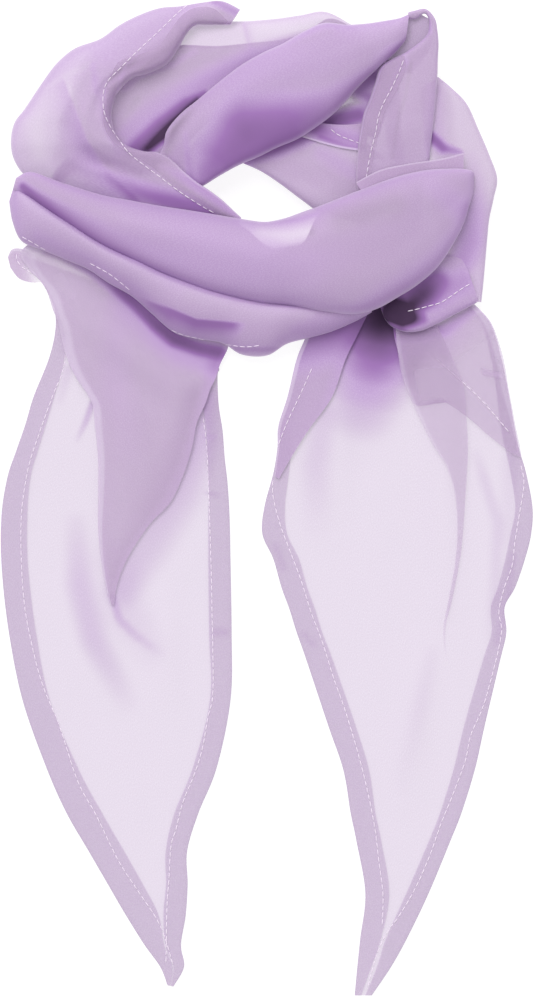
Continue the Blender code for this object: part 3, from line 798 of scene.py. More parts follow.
RIGHT_LEFT_TURN = (
    Laid(31, 116, 63, 116, 4.4, 4.4),
    Laid(23, 96, 54, 98, 4.1, 4.1),
    Laid(18, 83.4, 47, 83.4, 3.4, 3.4),
    Laid(12.6, 61.2, 39, 61.2, 2.9, 2.9),
    Laid(7.2, 43.8, 26, 43, 2.7, 2.7),
    Laid(6.6, 30.6, 17, 29, 2.7, 2.7),
    Laid(4.8, 14, 7, 12, 2.7, 2.7),
)
LEFT_TURN_SHADES = (
    # The first paints shade on the turn's top, just under the ring, like the tail's painted shadow.
    ((296, 344, 44, 4.6), (330, 332, 46, 6.4), (362, 322, 38, 9.0)),
    ((362, 332, 16, 2.4), (352, 350, 16, 2.0), (340, 375, 15, 1.4), (330, 400, 12, 0.9), (325, 418, 8, 0.5)),
)
RIGHT_RIGHT_TURN = (
    Laid(77, 116, 123, 118, 2.9, 2.9),
    Laid(76, 100, 134, 106, 2.9, 2.9),
    Laid(80, 84, 140, 90, 2.9, 2.9),
    Laid(84, 69, 142.8, 78, 2.9, 2.9),
    Laid(90, 56, 144.5, 67, 2.9, 2.9),
    Laid(104, 59, 147, 54, 2.7, 2.7),
    Laid(119, 50, 149, 43, 2.7, 2.7),
    Laid(133, 38, 151, 34, 2.7, 2.7),
    Laid(147, 27, 152.5, 25, 2.7, 2.7),
)
RIGHT_TURN_SHADES = (
    # The first two paint the shadow that the cuff casts on the turn's top.
    ((396, 332, 14, 9.0), (420, 335, 12, 6.0), (446, 330, 11, 4.0), (480, 305, 8, 3.0)),
    ((400, 345, 30, 2.4), (440, 342, 30, 1.8), (480, 322, 22, 0.8)),
    ((398, 350, 14, 1.2), (404, 380, 14, 0.9), (413, 406, 12, 0.6)),
    ((424, 404, 4, 0.8), (440, 400, 4, 0.8)),
    ((484, 372, 4, 1.0), (500, 376, 4, 1.0)),
    ((495, 345, 7, 0.4), (497, 353, 7, 0.4)),
)
RIGHT_PLEAT = (
    Laid(77, 106, 101, 106, 4.8, 4.8),
    Laid(79, 86, 112, 83, 4.8, 4.8),
    Laid(83, 68, 118, 67, 4.8, 4.8),
    Laid(90, 52, 119.5, 50, 4.8, 4.8),
    Laid(100, 32, 120.5, 31, 4, 4.4),
    Laid(108, 19, 120, 17, 3.6, 3.8),
    Laid(113, 2, 119, 1, 3.3, 3.3),
    Laid(114.3, -19, 117.6, -20, 3.1, 3.1),
    Laid(113, -38, 115.5, -38, 2.9, 2.9),
    Laid(109, -61, 111, -61, 2.8, 2.8),
    Laid(106, -79, 107, -79, 2.6, 2.6),
    Laid(108, -100, 108.8, -100, 2.6, 2.6),
)
FLAT_STEPS = 8
FOLD_STEPS = 36
PLY_GAP = 0.5
FOLD_BULGE = 0.25
FOLD_WAVES, FOLD_SEED = 0.4, 3.0


def flat_fold(name, table, troughs, material, weight, fold_at="left", shades=(), fade=None):
    """Two layers that lie over a tail, joined by a rounded fold along one edge."""
    grid = []
    for row in between(table, FLAT_STEPS):
        left = Vector((row.left_x, row.left_y, row.left_z))
        right = Vector((row.right_x, row.right_y, row.right_z))
        if fold_at == "right":
            left, right = right, left
        width = (right - left).length
        shares = [(1 - k / FOLD_STEPS, PLY_GAP) for k in range(FOLD_STEPS)]
        shares += turned_edge(width, FOLD_BULGE, PLY_GAP)
        shares += [(k / FOLD_STEPS, 0) for k in range(1, FOLD_STEPS + 1)]
        section = []
        for share, lift in shares:
            point = left.lerp(right, share)
            point.z += lift + FOLD_WAVES * gentle_waves(point.x, point.y, FOLD_SEED)
            point.z += trough_lift(point.x, point.y, troughs)
            section.append(point)
        grid.append(section)
    wide = len(grid[0])
    shade_on = [1.0 if k < wide // 2 else 0.0 for k in range(wide)]
    # The fold's rounded edge gets the painted rim highlight.
    rims = [1.0 if abs(k - wide // 2) <= EDGE_STEPS else 0.0 for k in range(wide)]
    return cloth_piece(name, grid, material, [weight] * wide, shades, shade_on, rims, fade=fade)


def fade_out(start, end):
    """1 along the rows up to start, 0 from end on."""
    return lambda along: eased((end - along) / (end - start))


gathers = flat_fold(
    "left_tail_gathers_cloth", LEFT_GATHERS, LEFT_FOLDS, lilac_chiffon,
    shades=GATHER_SHADES, weight=1.05,
)
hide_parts("left_tail_gathers")
lobe = flat_fold(
    "left_tail_lobe_cloth", LEFT_LOBE, (), hem_chiffon,
    weight=1.3, fade=lambda along: eased((along - 0.1) / 0.6),
)
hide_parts("left_tail_lobe")
left_turn = flat_fold(
    "right_tail_left_turn_cloth", RIGHT_LEFT_TURN, RIGHT_FOLDS, lilac_chiffon,
    shades=LEFT_TURN_SHADES, weight=2.1,
)
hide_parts("right_tail_left_turn")
right_turn = flat_fold(
    "right_tail_right_turn_cloth", RIGHT_RIGHT_TURN, RIGHT_FOLDS, lilac_chiffon,
    fold_at="right", shades=RIGHT_TURN_SHADES, weight=0.55,
)
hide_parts("right_tail_right_turn")
pleat = flat_fold(
    "right_tail_pleat_cloth", RIGHT_PLEAT, RIGHT_FOLDS, lilac_chiffon,
    weight=0.5, fade=fade_out(0.8, 1.0),
)
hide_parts("right_tail_pleat")

RIGHT_TURN_STITCHES = ((435, 358), (450, 371), (468, 387), (486, 405), (508, 431))
LEFT_TURN_STITCHES = ((312, 368), (300, 395), (286, 425), (276, 452))
LOBE_STITCHES = ((21, 248), (17, 252), (17, 259), (21, 266), (30, 272))
stitch_row("right_turn_stitches", RIGHT_TURN_STITCHES, [right_turn])
stitch_row("left_turn_stitches", LEFT_TURN_STITCHES, [left_turn])
stitch_row("lobe_stitches", LOBE_STITCHES, [lobe, gathers])

# ---------------------------------------------------------------------------
# The wound ring.  Each stretch is the strip, or part of its width, rolled: over
# the top, back underneath, over again inside and part of the way back.

# A row gives one section: its two edges, its height, how far across the three
# hidden turns lie, from 0 at the left edge to 1 at the right, and the width of
# the hem that shows.  Turns in their usual places, and no hem, are left out.
Roll = namedtuple(
    "Roll", "left_x left_y right_x right_y left_z right_z crown under over last hem",
    defaults=(0.1, 0.9, 0.4, 0),
)

FLATTEST = 0.35
ROUNDNESS = 1.3
LEAST_RISE = 2.4
ROLL_STEPS = 8
PLY_COLUMNS = (56, 14, 14, 14)
RIM_COLUMNS = 8
UNDER_DROP = 3.0
PLY_LEVELS = (0.0, 1.0, 0.25, 0.7)
TURN_SHARPNESS = 7
WANDER, WANDER_LENGTH = 0.04, 40  # of the hidden turns, to and fro along the roll
RUMPLE, RUMPLE_LENGTH, RUMPLE_WIDTH = 0.5, 60, 14
RUMPLE_RISE = 8  # a roll this high or higher is rumpled in full
ROLL_HEM_STEPS = 8
ROLL_HEM_LIFT = 0.5
ROLL_HEM_LAYERS = 0.7
ROLL_HEM_TURN = ((0.35, 0.4), (-0.35, 0.5))  # out and down over the edge, then in and down
LEAST_HEM = 2
MOST_HEM = 0.9  # as a share of the roll

Crease = namedtuple("Crease", "start end across_start across_end depth half_width")


def crease_depth(along, across, creases):
    """How far the creases sink a roll's crown at (along, across)."""
    place = Vector((along, across))
    depth = 0.0
    for crease in creases:
        start = Vector((crease.start, crease.across_start))
        run = Vector((crease.end, crease.across_end)) - start
        share = max(0.0, min(1.0, (place - start).dot(run) / run.length_squared))
        off = (place - start - run * share).length
        depth += crease.depth * math.sin(math.pi * share) * soft_bump(off, crease.half_width)
    return depth


def roll_point(row, along, across, level, creases, seed, run):
    """A point of a rolled sheet: level 0 is the outside, 1 the underside."""
    left = Vector((row.left_x, row.left_y, row.left_z))
    right = Vector((row.right_x, row.right_y, row.right_z))
    half = 0.5 * (right - left).xy.length
    rise = max(row.crown - 0.5 * (row.left_z + row.right_z), LEAST_RISE)
    square = max(FLATTEST, min(1.0, ROUNDNESS * rise / half))
    side = min(1.0, abs(2 * across - 1))
    arch = math.sqrt(max(0.0, 1 - side ** (2 / square)))
    point = left.lerp(right, across)
    sunk = crease_depth(along, across, creases) * arch
    patch = Vector((run / RUMPLE_LENGTH, across * 2 * half / RUMPLE_WIDTH, seed + 3.7 * level))
    point.z += (arch * rise - sunk) * (1 - level) - UNDER_DROP * level
    point.z += noise.noise(patch) * arch * min(1.0, rise / RUMPLE_RISE) * RUMPLE
    return point


def roll_rows(table):
    """The smooth rows of a roll, each with its place along and the length up to it."""
    rows = between(table, ROLL_STEPS)
    run = 0.0
    placed = []
    for k, row in enumerate(rows):
        if k:
            before = rows[k - 1]
            run += 0.5 * math.hypot(row.left_x - before.left_x, row.left_y - before.left_y)
            run += 0.5 * math.hypot(row.right_x - before.right_x, row.right_y - before.right_y)
        placed.append((row, k / (len(rows) - 1), run))
    return placed


def rolled(name, table, creases=(), *, seed, shades, plies, soft=(1, 1, 1), fade=None):
    """A stretch of the strip, rolled, through the table's sections.

    plies gives the layers of its four passes, and soft says which of the three
    hidden turns thin out instead of showing as a crisp fold."""
    grid = []
    weights, shade_on, rims = [], [], []
    last_ply = len(PLY_COLUMNS) - 1
    for row, along, run in roll_rows(table):
        place = run / WANDER_LENGTH
        turns = (
            0.0, 1.0, row.under,
            row.over + WANDER * noise.noise(Vector((place, seed, 5.0))),
            row.last + WANDER * noise.noise(Vector((place, seed, 10.0))),
        )
        section = []
        for ply, columns in enumerate(PLY_COLUMNS):
            start, reach = turns[ply], turns[ply + 1] - turns[ply]
            for step in range(columns + (ply == last_ply)):
                w = step / columns
                across = start + reach * 0.5 * (1 - math.cos(math.pi * w))
                nearest = min(ply + 1, last_ply) if w > 0.5 else max(ply - 1, 0)
                mix = 0.5 * abs(2 * w - 1) ** TURN_SHARPNESS
                level = PLY_LEVELS[ply] + mix * (PLY_LEVELS[nearest] - PLY_LEVELS[ply])
                section.append(roll_point(row, along, across, level, creases, seed, run))
                if not grid:
                    thin = eased((1 - w) / 0.5) if ply and soft[ply - 1] else 1.0
                    thin *= eased(w / 0.5) if ply > 1 and soft[ply - 2] else 1.0
                    weights.append(plies[ply] * thin)
                    shade_on.append(0.0 if ply else 1.0)
                    # The outer ply's edge columns get the painted rim highlight.
                    inside = RIM_COLUMNS - min(step, columns - step)
                    rims.append(0.0 if ply else eased(inside / RIM_COLUMNS))
        grid.append(section)
    return cloth_piece(name, grid, lilac_chiffon, weights, shades, shade_on, rims, fade=fade)


def roll_hem(name, table, side, creases=(), *, seed, shades):
    """The turned hem along one edge of a roll, lying on the roll's own surface."""
    grid = []
    for row, along, run in roll_rows(table):
        if row.hem < LEAST_HEM:
            continue
        width = math.hypot(row.right_x - row.left_x, row.right_y - row.left_y)
        share = min(MOST_HEM, row.hem / width)
        section = []
        for k in range(ROLL_HEM_STEPS + 1):
            across = share * (1 - k / ROLL_HEM_STEPS)
            if side == "right":
                across = 1 - across
            point = roll_point(row, along, across, 0.0, creases, seed, run)
            point.z += ROLL_HEM_LIFT
            section.append(point)
        outward = (section[-1] - section[0]).xy.normalized().to_3d()
        for out, down in ROLL_HEM_TURN:
            section.append(section[-1] + outward * out - Vector((0, 0, down)))
        grid.append(section)
    # The hem's turned edge gets the painted rim highlight.
    rims = [0.0] * ROLL_HEM_STEPS + [1.0] * (1 + len(ROLL_HEM_TURN))
    return cloth_piece(name, grid, hem_chiffon, [ROLL_HEM_LAYERS] * len(rims), shades, rims=rims)


def declare_roll(node):
    """One stretch of the strip: hides its solid, which the rolled cloth replaces."""
    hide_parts(node)


def declare_hem(node):
    """A strip of hem on the ring: hides its solid, which the hem's cloth replaces."""
    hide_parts(node)


# The lower stretches: the back band, the inner band beside the opening with the
# strip of hem on it, and the thin outermost turn on the right.
BACK_BAND = (
    Roll(-101, 239, -88, 198, 8, 8, 12, 0.04),
    Roll(-89, 257, -68, 200, 7, 9, 14.5, 0.03, 0.9, 0.5),
    Roll(-70, 272, -52, 208, 7, 10, 15, 0.03, 0.92, 0.55),
    Roll(-52, 283, -38, 223, 6, 11, 15, 0.18, 0.93, 0.6),
    Roll(-31, 286, -18, 238, 6, 11, 15, 0.30, 0.93, 0.6),
    Roll(-12, 286.5, -2, 248, 6, 11, 15, 0.34, 0.93, 0.6),
    Roll(6, 288, 16, 257, 6, 11, 15, 0.40, 0.93, 0.6),
    Roll(20, 290, 31, 266, 6, 11, 14.5, 0.4, 0.93, 0.6),
    Roll(35, 292, 47, 272, 7, 11, 13.5, 0.2, 0.93, 0.5),
    Roll(51, 284, 57, 270, 8, 10, 12.5),
    Roll(64, 276, 68, 262, 8, 10, 12.5),
)
BACK_BAND_SHADES = (
    ((245, 26, 5, 0.9), (251, 50, 6, 0.9)),
    ((262, 31, 9, -0.2), (308, 29, 9, -0.2)),
    ((130, 132, 24, 2.6), (160, 112, 26, 2.9), (205, 86, 24, 4.2), (250, 62, 20, 4.4), (305, 42, 14, 3.0)),
    # These two paint shade into the crevice where the diagonal roll's edge lies on the band.
    ((134, 154, 18, 10.0), (165, 130, 20, 13.0), (188, 108, 14, 10.0), (204, 95, 7, 5.0)),
    ((147, 151, 8, 10.0), (172, 128, 8, 14.0), (198, 102, 6, 9.0)),
    ((120, 128, 8, -0.8), (138, 102, 8, -0.8)),
    ((196, 52, 5, 1.0), (172, 66, 6, 1.6), (140, 77, 6, 1.8), (124, 90, 7, 1.6)),
)
INNER_BAND = (
    Roll(-17, 205, -14, 201, 10, 10, 11),
    Roll(-3, 214, -3, 196, 11, 10, 14),
    Roll(14, 220, 9, 188, 11, 10, 15, 0.1, 0.85, 0.5),
    Roll(33, 223, 21, 179, 11, 10, 15, 0.1, 0.8, 0.5),
    Roll(51, 220, 33, 171, 11, 10, 15, 0.1, 0.8, 0.4),
    Roll(65, 209, 51, 166, 10, 10, 14),
    Roll(80, 198, 68, 156, 10, 10, 12),
)
INNER_BAND_SHADES = (
    ((244, 158, 14, 8.0), (275, 147, 18, 9.0), (300, 138, 16, 8.0), (318, 134, 11, 6.0)),
    ((322, 154, 14, 1.4), (344, 168, 15, 1.6), (360, 178, 10, 1.4)),
    # This last one paints the shadow of the diagonal roll on the band's upper side.
    ((296, 130, 10, 3.0), (330, 124, 12, 5.0), (358, 118, 12, 5.0)),
)
INNER_BAND_HEM = (
    Laid(31, 225, 20, 217, 15.8, 15.8),
    Laid(41, 224, 33, 213, 15.8, 15.8),
    Laid(51, 224, 45, 210, 15.8, 15.8),
    Laid(61, 225, 59, 208, 15.8, 15.8),
)
INNER_HEM_SHADES = (
    ((312, 128, 16, 9.0), (330, 137, 20, 6.0), (360, 144, 18, 4.4)),
    ((320, 138, 4, 2.0), (345, 147, 4, 2.0), (360, 150, 4, 2.0)),
)
POCKET = (
    Laid(14, 226, 66, 216, 12, 12),
    Laid(24, 234, 70, 226, 12, 12),
    Laid(34, 243, 74, 238, 12, 12),
    Laid(46, 253, 80, 250, 12, 12),
    Laid(58, 264, 86, 262, 12, 12),
)
POCKET_SHADES = (
    # The first three paint shade into the pocket between the diagonal roll and the turned band, over its
    # folded cloth.
    ((312, 124, 16, 8.0), (335, 122, 16, 9.0), (358, 116, 14, 9.0)),
    ((372, 78, 16, 6.0), (360, 92, 15, 5.5), (378, 108, 14, 6.5)),
    ((322, 112, 8, 2.0), (345, 92, 7, 1.4), (372, 68, 8, 3.0)),
    # This one, taking layers away, paints highlights on the pocket's folds.
    ((330, 108, 10, -3.4), (350, 100, 9, -2.6), (366, 103, 6, -2.0)),
)
OUTER_SHEER = (
    Roll(92, 246, 102.5, 253, 10, 9, 11.5),
    Roll(92, 240, 111, 246, 10.3, 8.5, 13, 0.1, 0.9, 0.3),
    Roll(93, 230, 120, 236.5, 10.5, 8, 13.7, 0.1, 0.75, 0.2),
    Roll(94, 218, 127, 221, 11, 8, 14, 0.05, 0.6, 0.2),
    Roll(96, 205, 133, 207, 11, 8, 13.8, 0.05, 0.55, 0.2),
    Roll(98, 192, 138, 192.5, 10.5, 8, 13.5, 0.05, 0.5, 0.2),
    Roll(100, 180, 136, 180.5, 10, 8, 12.8, 0.05, 0.5, 0.2),
    Roll(103, 167, 133.3, 168, 10, 8, 12, 0.05, 0.55, 0.2),
    Roll(101, 154, 132, 155, 9.5, 7.3, 11.3, 0.05, 0.6, 0.2),
    Roll(101, 141, 130.8, 141, 9, 7, 10.5, 0.05, 0.8, 0.2),
    Roll(108, 129, 129.7, 129, 8.3, 7, 9.5, 0.05, 0.9, 0.3),
    Roll(117, 119, 128.5, 118, 8, 7, 9),
)
OUTER_SHEER_SHADES = (
    ((436, 78, 14, 1.0), (434, 120, 16, 1.2), (438, 150, 14, 1.4)),
    # This one paints shade into the dark pocket behind the front roll's lip.
    ((431, 138, 9, 9.0), (443, 149, 9, 8.0), (460, 153, 5, 4.0)),
    ((472, 160, 12, 0.4), (473, 190, 20, 1.6), (474, 214, 25, 3.2), (470, 242, 26, 4.6), (460, 266, 20, 5.0)),
    ((482, 262, 16, 0.8), (476, 292, 12, 1.0)),
)
back_band = rolled(
    "back_band_cloth", BACK_BAND, seed=21.0, shades=BACK_BAND_SHADES,
    plies=(1.3, 1.3, 0.8, 0.6), soft=(0, 1, 1), fade=fade_out(0.82, 1.0),
)
declare_roll("back_band")
inner_band = rolled(
    "inner_band_cloth", INNER_BAND, seed=31.0, shades=INNER_BAND_SHADES, plies=(1.7, 1.3, 0.5, 0.4),
    fade=fade_out(0.78, 1.0),
)
declare_roll("inner_band")
inner_hem = flat_fold(
    "inner_band_hem_cloth", INNER_BAND_HEM, (), hem_chiffon,
    fold_at="right", shades=INNER_HEM_SHADES, weight=1.4,
)
declare_hem("inner_band_hem")
pocket = flat_fold(
    "pocket_cloth", POCKET, (), lilac_chiffon, fold_at="right", shades=POCKET_SHADES, weight=2.0,
)
outer_sheer = rolled(
    "outer_sheer_cloth", OUTER_SHEER, seed=41.0, shades=OUTER_SHEER_SHADES, plies=(1.2, 0.7, 0.3, 0.3),
)
declare_roll("outer_sheer")

# The second roll, below the front one, with its lower edge over both tails.
SECOND_ROLL = (
    Roll(-151, 189, -154.5, 178, 9, 8, 11),
    Roll(-148, 186, -152.5, 166, 14, 8, 18),
    Roll(-141, 181, -147, 154.5, 17, 8, 22, 0.08),
    Roll(-130, 173, -134, 149, 20, 8, 25, 0.06),
    Roll(-118, 165.5, -121, 143.5, 21, 8, 26, 0.06),
    Roll(-103, 155.5, -107, 137.5, 21.5, 8, 27, 0.06),
    Roll(-90, 148.5, -95, 129.5, 22, 8, 28, 0.06),
    Roll(-76, 142.4, -81, 121.5, 22, 8, 29, 0.06, 0.9, 0.5),
    Roll(-63, 136, -69, 111, 22, 8, 29, 0.06, 0.9, 0.5),
    Roll(-50, 131, -56, 100, 22, 8, 29, 0.06, 0.9, 0.5),
    Roll(-37, 126.5, -42, 96, 21.5, 8, 29, 0.06, 0.9, 0.5),
    Roll(-25, 123, -27, 93.5, 21, 8, 28.5, 0.06),
    Roll(-12, 120, -15, 86.5, 20.5, 8, 28, 0.06),
    Roll(0, 118, 0, 86, 20, 8, 27, 0.06, 0.9, 0.3),
    Roll(12, 116.5, 12, 93, 19.5, 8, 26, 0.06, 0.9, 0.3),
    Roll(24, 115.5, 25, 96.5, 18.5, 8, 23, 0.06, 0.9, 0.3),
    Roll(38, 114.5, 39, 100.5, 16, 8, 20, 0.06, 0.9, 0.3),
    Roll(52, 115, 53, 106.5, 12, 8, 15, 0.06, 0.9, 0.3),
    Roll(62, 114, 63, 112, 9, 8, 11, 0.06, 0.9, 0.3),
)
SECOND_ROLL_SHADES = (
    ((38, 236, 10, 0.9), (80, 256, 10, 0.4), (120, 282, 10, 0.3), (146, 300, 8, 0.5)),
    (RIGHT, (146, 300, 10, 1.4), (155, 304, 15, 4.0), (173, 310, 21, 6.2), (197, 320, 20, 6.8),
    (231, 323, 18, 6.8)),
    ((182, 340, 5, 1.4), (230, 350, 5, 2.2), (285, 350, 5, 1.8)),
    ((190, 296, 14, -0.5), (250, 312, 16, -0.5), (300, 314, 14, -0.4)),
    ((296, 330, 10, 1.0), (320, 322, 10, 1.0), (352, 314, 9, 1.0)),
)
second_roll = rolled(
    "second_roll_cloth", SECOND_ROLL, seed=51.0, shades=SECOND_ROLL_SHADES, plies=(2.6, 1.4, 0.6, 0.5),
)
declare_roll("second_roll")

# The diagonal roll, from the opening's left to the top right corner.
DIAGONAL_ROLL = (
    Roll(-66, 203, -45, 184, 15.5, 15, 17),
    Roll(-62, 211, -37, 188, 16.5, 16, 20),
    Roll(-60, 220, -28, 193.5, 18, 18, 24.5, 0.3, 0.92),
    Roll(-52, 230, -17, 199.5, 19, 19, 29, 0.3, 0.92),
    Roll(-41, 239, -5, 204.5, 19.5, 19.5, 32, 0.25, 0.92),
    Roll(-29, 249, 6, 210, 20, 20, 33.5, 0.2, 0.92),
    Roll(-16, 259, 18, 215, 20, 20, 35, 0.15, 0.92),
    Roll(-3, 266.5, 29, 222, 20, 20, 35.5, 0.1, 0.92),
    Roll(10, 272.5, 39, 229.5, 20, 20, 35.5, 0.08, 0.92),
    Roll(21, 279, 47, 237.5, 20, 20, 34.5, 0.06, 0.92),
    Roll(34, 284.5, 54, 245.5, 19.5, 20, 33.5, 0.06, 0.92),
    Roll(48, 283.5, 61, 252.5, 19, 20, 32, 0.06, 0.92),
    Roll(60, 284.3, 68.5, 259.5, 18, 20, 29.5, 0.06, 0.92),
    Roll(71, 286, 75.5, 265.5, 17.5, 19.5, 27, 0.06, 0.92),
    Roll(79, 287.5, 80, 270.5, 17, 18.5, 24.5),
    Roll(85, 290, 83, 274.5, 16.5, 18, 22),
)
DIAGONAL_CREASES = (
    Crease(0.10, 0.60, 0.45, 0.55, 1.0, 0.30),
    Crease(0.45, 0.95, 0.80, 0.60, 0.5, 0.26),
)
DIAGONAL_SHADES = (
    # Darker along the roll's length: gathered layers and painted shade.
    ((202, 182, 18, 4.0), (222, 156, 38, 6.6), (246, 134, 48, 9.2), (285, 124, 40, 7.2), (330, 104, 22, 2.8),
    (372, 76, 12, 2.2)),
    ((186, 136, 5, 0.9), (188, 158, 6, 2.0), (191, 180, 7, 2.6)),
    # This one, taking layers away, paints a highlight along the roll's upper left rim.
    ((166, 150, 13, -1.9), (176, 128, 14, -2.0), (205, 92, 12, -1.4), (262, 56, 9, -0.9), (330, 34, 7, -0.5)),
    ((240, 88, 30, 0.9), (290, 72, 28, 0.9), (340, 56, 24, 0.5)),
    ((380, 62, 12, 1.0), (392, 54, 11, 3.0), (402, 50, 10, 3.4)),
)
diagonal_roll = rolled(
    "diagonal_roll_cloth", DIAGONAL_ROLL, DIAGONAL_CREASES, seed=61.0,
    shades=DIAGONAL_SHADES, plies=(2.7, 2.0, 0.7, 0.5),
)
declare_roll("diagonal_roll")

# The left band, which comes over from the top and bends round the left side,
# with the hem along its inner edge.
LEFT_BAND = (
    Roll(-16, 293, -22, 284, 12, 14.5, 16.5),
    Roll(-27, 298, -36, 284, 13, 16, 20, 0.1, 0.9, 0.4, 10),
    Roll(-40, 297, -43, 283.5, 12.5, 17, 21, 0.1, 0.9, 0.4, 11),
    Roll(-52, 295, -48, 278.5, 12, 18, 22, 0.1, 0.9, 0.3, 11),
    Roll(-64, 294, -53, 270, 11.5, 18.5, 24, 0.1, 0.95, 0.4, 11),
    Roll(-76, 290, -60, 260, 11, 19, 25.5, 0.1, 0.95, 0.5, 11),
    Roll(-88, 284, -71, 254.5, 10.5, 19.5, 26.5, 0.1, 0.95, 0.5, 12),
    Roll(-100, 275.5, -80, 252, 10, 20, 27, 0.15, 0.95, 0.5, 12),
    Roll(-115, 270, -86, 247, 9, 20, 28, 0.2, 0.95, 0.6, 9),
    Roll(-126, 261, -90.5, 241, 9, 20, 28, 0.3, 0.95, 0.65, 6),
    Roll(-135, 249, -92.5, 234, 9, 20, 28, 0.4, 0.95, 0.7, 5),
    Roll(-145, 234, -93, 227, 9, 20, 27.5, 0.42, 0.95, 0.72, 5),
    Roll(-151.5, 225, -91.5, 220, 9, 20, 26, 0.42, 0.95, 0.72, 5),
    Roll(-153.5, 213, -87, 213, 9, 20, 24, 0.4, 0.95, 0.7, 5),
    Roll(-151, 202, -80, 209.5, 8, 20.5, 21, 0.3, 0.95, 0.6, 7),
    Roll(-143, 192, -73, 207.6, 8, 21.5, 19, 0.2, 0.95, 0.5, 9),
    Roll(-128, 184, -66, 207, 8, 22, 18.5, 0.1, 0.95, 0.4, 11),
    Roll(-106, 175, -58, 203, 9, 22, 18, 0.1, 0.95, 0.4, 11),
    Roll(-85, 171, -50, 195.5, 11, 21.5, 18, 0.1, 0.95, 0.4, 11),
    Roll(-66, 168, -42, 189, 12.5, 20.5, 17.7, 0.1, 0.95, 0.4, 11),
    Roll(-49, 166, -35, 184.5, 13, 20, 17.5, 0.1, 0.95, 0.4, 10),
    Roll(-35, 165.5, -27, 178.5, 13.5, 19, 17.2, 0.1, 0.9, 0.4, 9),
    Roll(-24, 165, -20, 172, 14, 17.5, 17, 0.1, 0.9, 0.4, 6),
    Roll(-17, 163, -15.5, 168, 15, 16, 16.5, 0.1, 0.9, 0.4, 4),
)
LEFT_CREASES = (
    Crease(0.35, 0.80, 0.55, 0.62, 2.2, 0.16),
    Crease(0.20, 0.55, 0.85, 0.80, 1.6, 0.12),
)
LEFT_BAND_SHADES = (
    ((44, 100, 16, -0.5), (36, 126, 20, -0.6), (40, 154, 16, -0.5)),
    (RIGHT, (66, 86, 12, 0.8), (76, 110, 24, 1.5), (86, 138, 34, 2.0), (100, 162, 38, 2.2),
    (119, 183, 34, 2.6), (135, 197, 24, 3.0)),
    (LEFT, (67, 86, 10, -0.5), (76, 110, 10, -0.5), (93, 148, 9, -0.5), (112, 172, 8, -0.4)),
    ((108, 60, 26, 0.8), (150, 34, 26, 1.0), (192, 14, 18, 0.8)),
    ((46, 90, 5, -0.5), (66, 78, 6, -0.5), (92, 66, 6, -0.4)),
    ((94, 68, 6, 1.2), (97, 94, 6, 1.0)),
    ((112, 178, 14, 2.0), (135, 192, 18, 6.0), (165, 201, 18, 7.5), (205, 210, 17, 7.5), (236, 218, 11, 6.0)),
    ((60, 184, 16, 0.6), (104, 200, 14, 1.6)),
    ((100, 82, 12, 0.8), (108, 118, 14, 1.2), (120, 150, 14, 0.8)),
    ((214, 3, 7, 3.0), (242, 17, 7, 3.5)),
    ((198, 22, 6, -0.5), (221, 16, 6, -0.5)),
)
LEFT_HEM_SHADES = (
    ((110, 86, 6, 1.6), (124, 78, 6, 1.8), (136, 70, 7, 1.6), (152, 56, 8, 1.2), (176, 34, 8, 0.8)),
    ((118, 94, 4, 1.4), (126, 68, 4, 1.2)),
    ((164, 168, 10, 1.6), (200, 187, 13, 5.6), (222, 203, 12, 4.6), (238, 218, 9, 3.0)),
)
left_band = rolled(
    "left_band_cloth", LEFT_BAND, LEFT_CREASES, seed=71.0, shades=LEFT_BAND_SHADES,
    plies=(2.0, 1.0, 0.5, 0.4),
)
declare_roll("left_band")
left_hem = roll_hem(
    "left_band_hem_cloth", LEFT_BAND, "right", LEFT_CREASES, seed=71.0, shades=LEFT_HEM_SHADES,
)
declare_hem("left_band_hem")

# The turned band on the right, with the open loop at its top, and the far side
# of the loop that shows through it.
TURNED_BAND = (
    Roll(84, 287, 84.5, 291, 17, 17, 19.5),
    Roll(88.8, 287, 88, 292, 17, 17, 19.5),
    Roll(94.2, 290.2, 95, 293, 17.3, 17, 19.5),
    Roll(96.8, 286, 100.4, 287.4, 17.5, 17.2, 20),
    Roll(96, 278.4, 102, 279.6, 18, 17.5, 21),
    Roll(91.8, 273.6, 102.6, 271.8, 18.5, 18, 22),
    Roll(82.8, 267, 102.2, 263.4, 19, 18, 22.7, 0.06, 0.9, 0.5),
    Roll(69, 259, 102, 254.4, 19, 18, 23.3, 0.06, 0.92, 0.6, 14),
    Roll(64.8, 248.4, 101.4, 245.4, 19, 18, 23.5, 0.06, 0.92, 0.6, 14.5),
    Roll(61.8, 239.4, 100.8, 237.6, 19, 18, 23.5, 0.06, 0.92, 0.6, 13),
    Roll(58.2, 230.4, 100.2, 230.4, 19, 18, 23.3, 0.06, 0.92, 0.6, 12),
    Roll(56.4, 221.4, 99, 220.2, 19, 18, 23, 0.06, 0.92, 0.6, 11),
    Roll(54.6, 209.4, 97.8, 209.4, 18, 17.5, 21, 0.06, 0.92, 0.6, 10),
    Roll(53.4, 194, 96.6, 196, 17, 17, 18.5, 0.06, 0.92, 0.6, 9),
    Roll(54, 184, 95, 184, 16, 16.5, 17.5, 0.06, 0.92, 0.6, 8),
    Roll(55, 172, 93, 172, 15, 15.5, 16.5, 0.06, 0.92, 0.6, 8),
)
LOOP_BACK = (
    Laid(68, 264, 86, 254, 14.4, 14.4),
    Laid(77, 278, 97, 268, 14.4, 14.4),
    Laid(82, 287.5, 99, 277, 14.4, 14.4),
    Laid(89, 291.5, 99.5, 286, 14.4, 14.4),
)
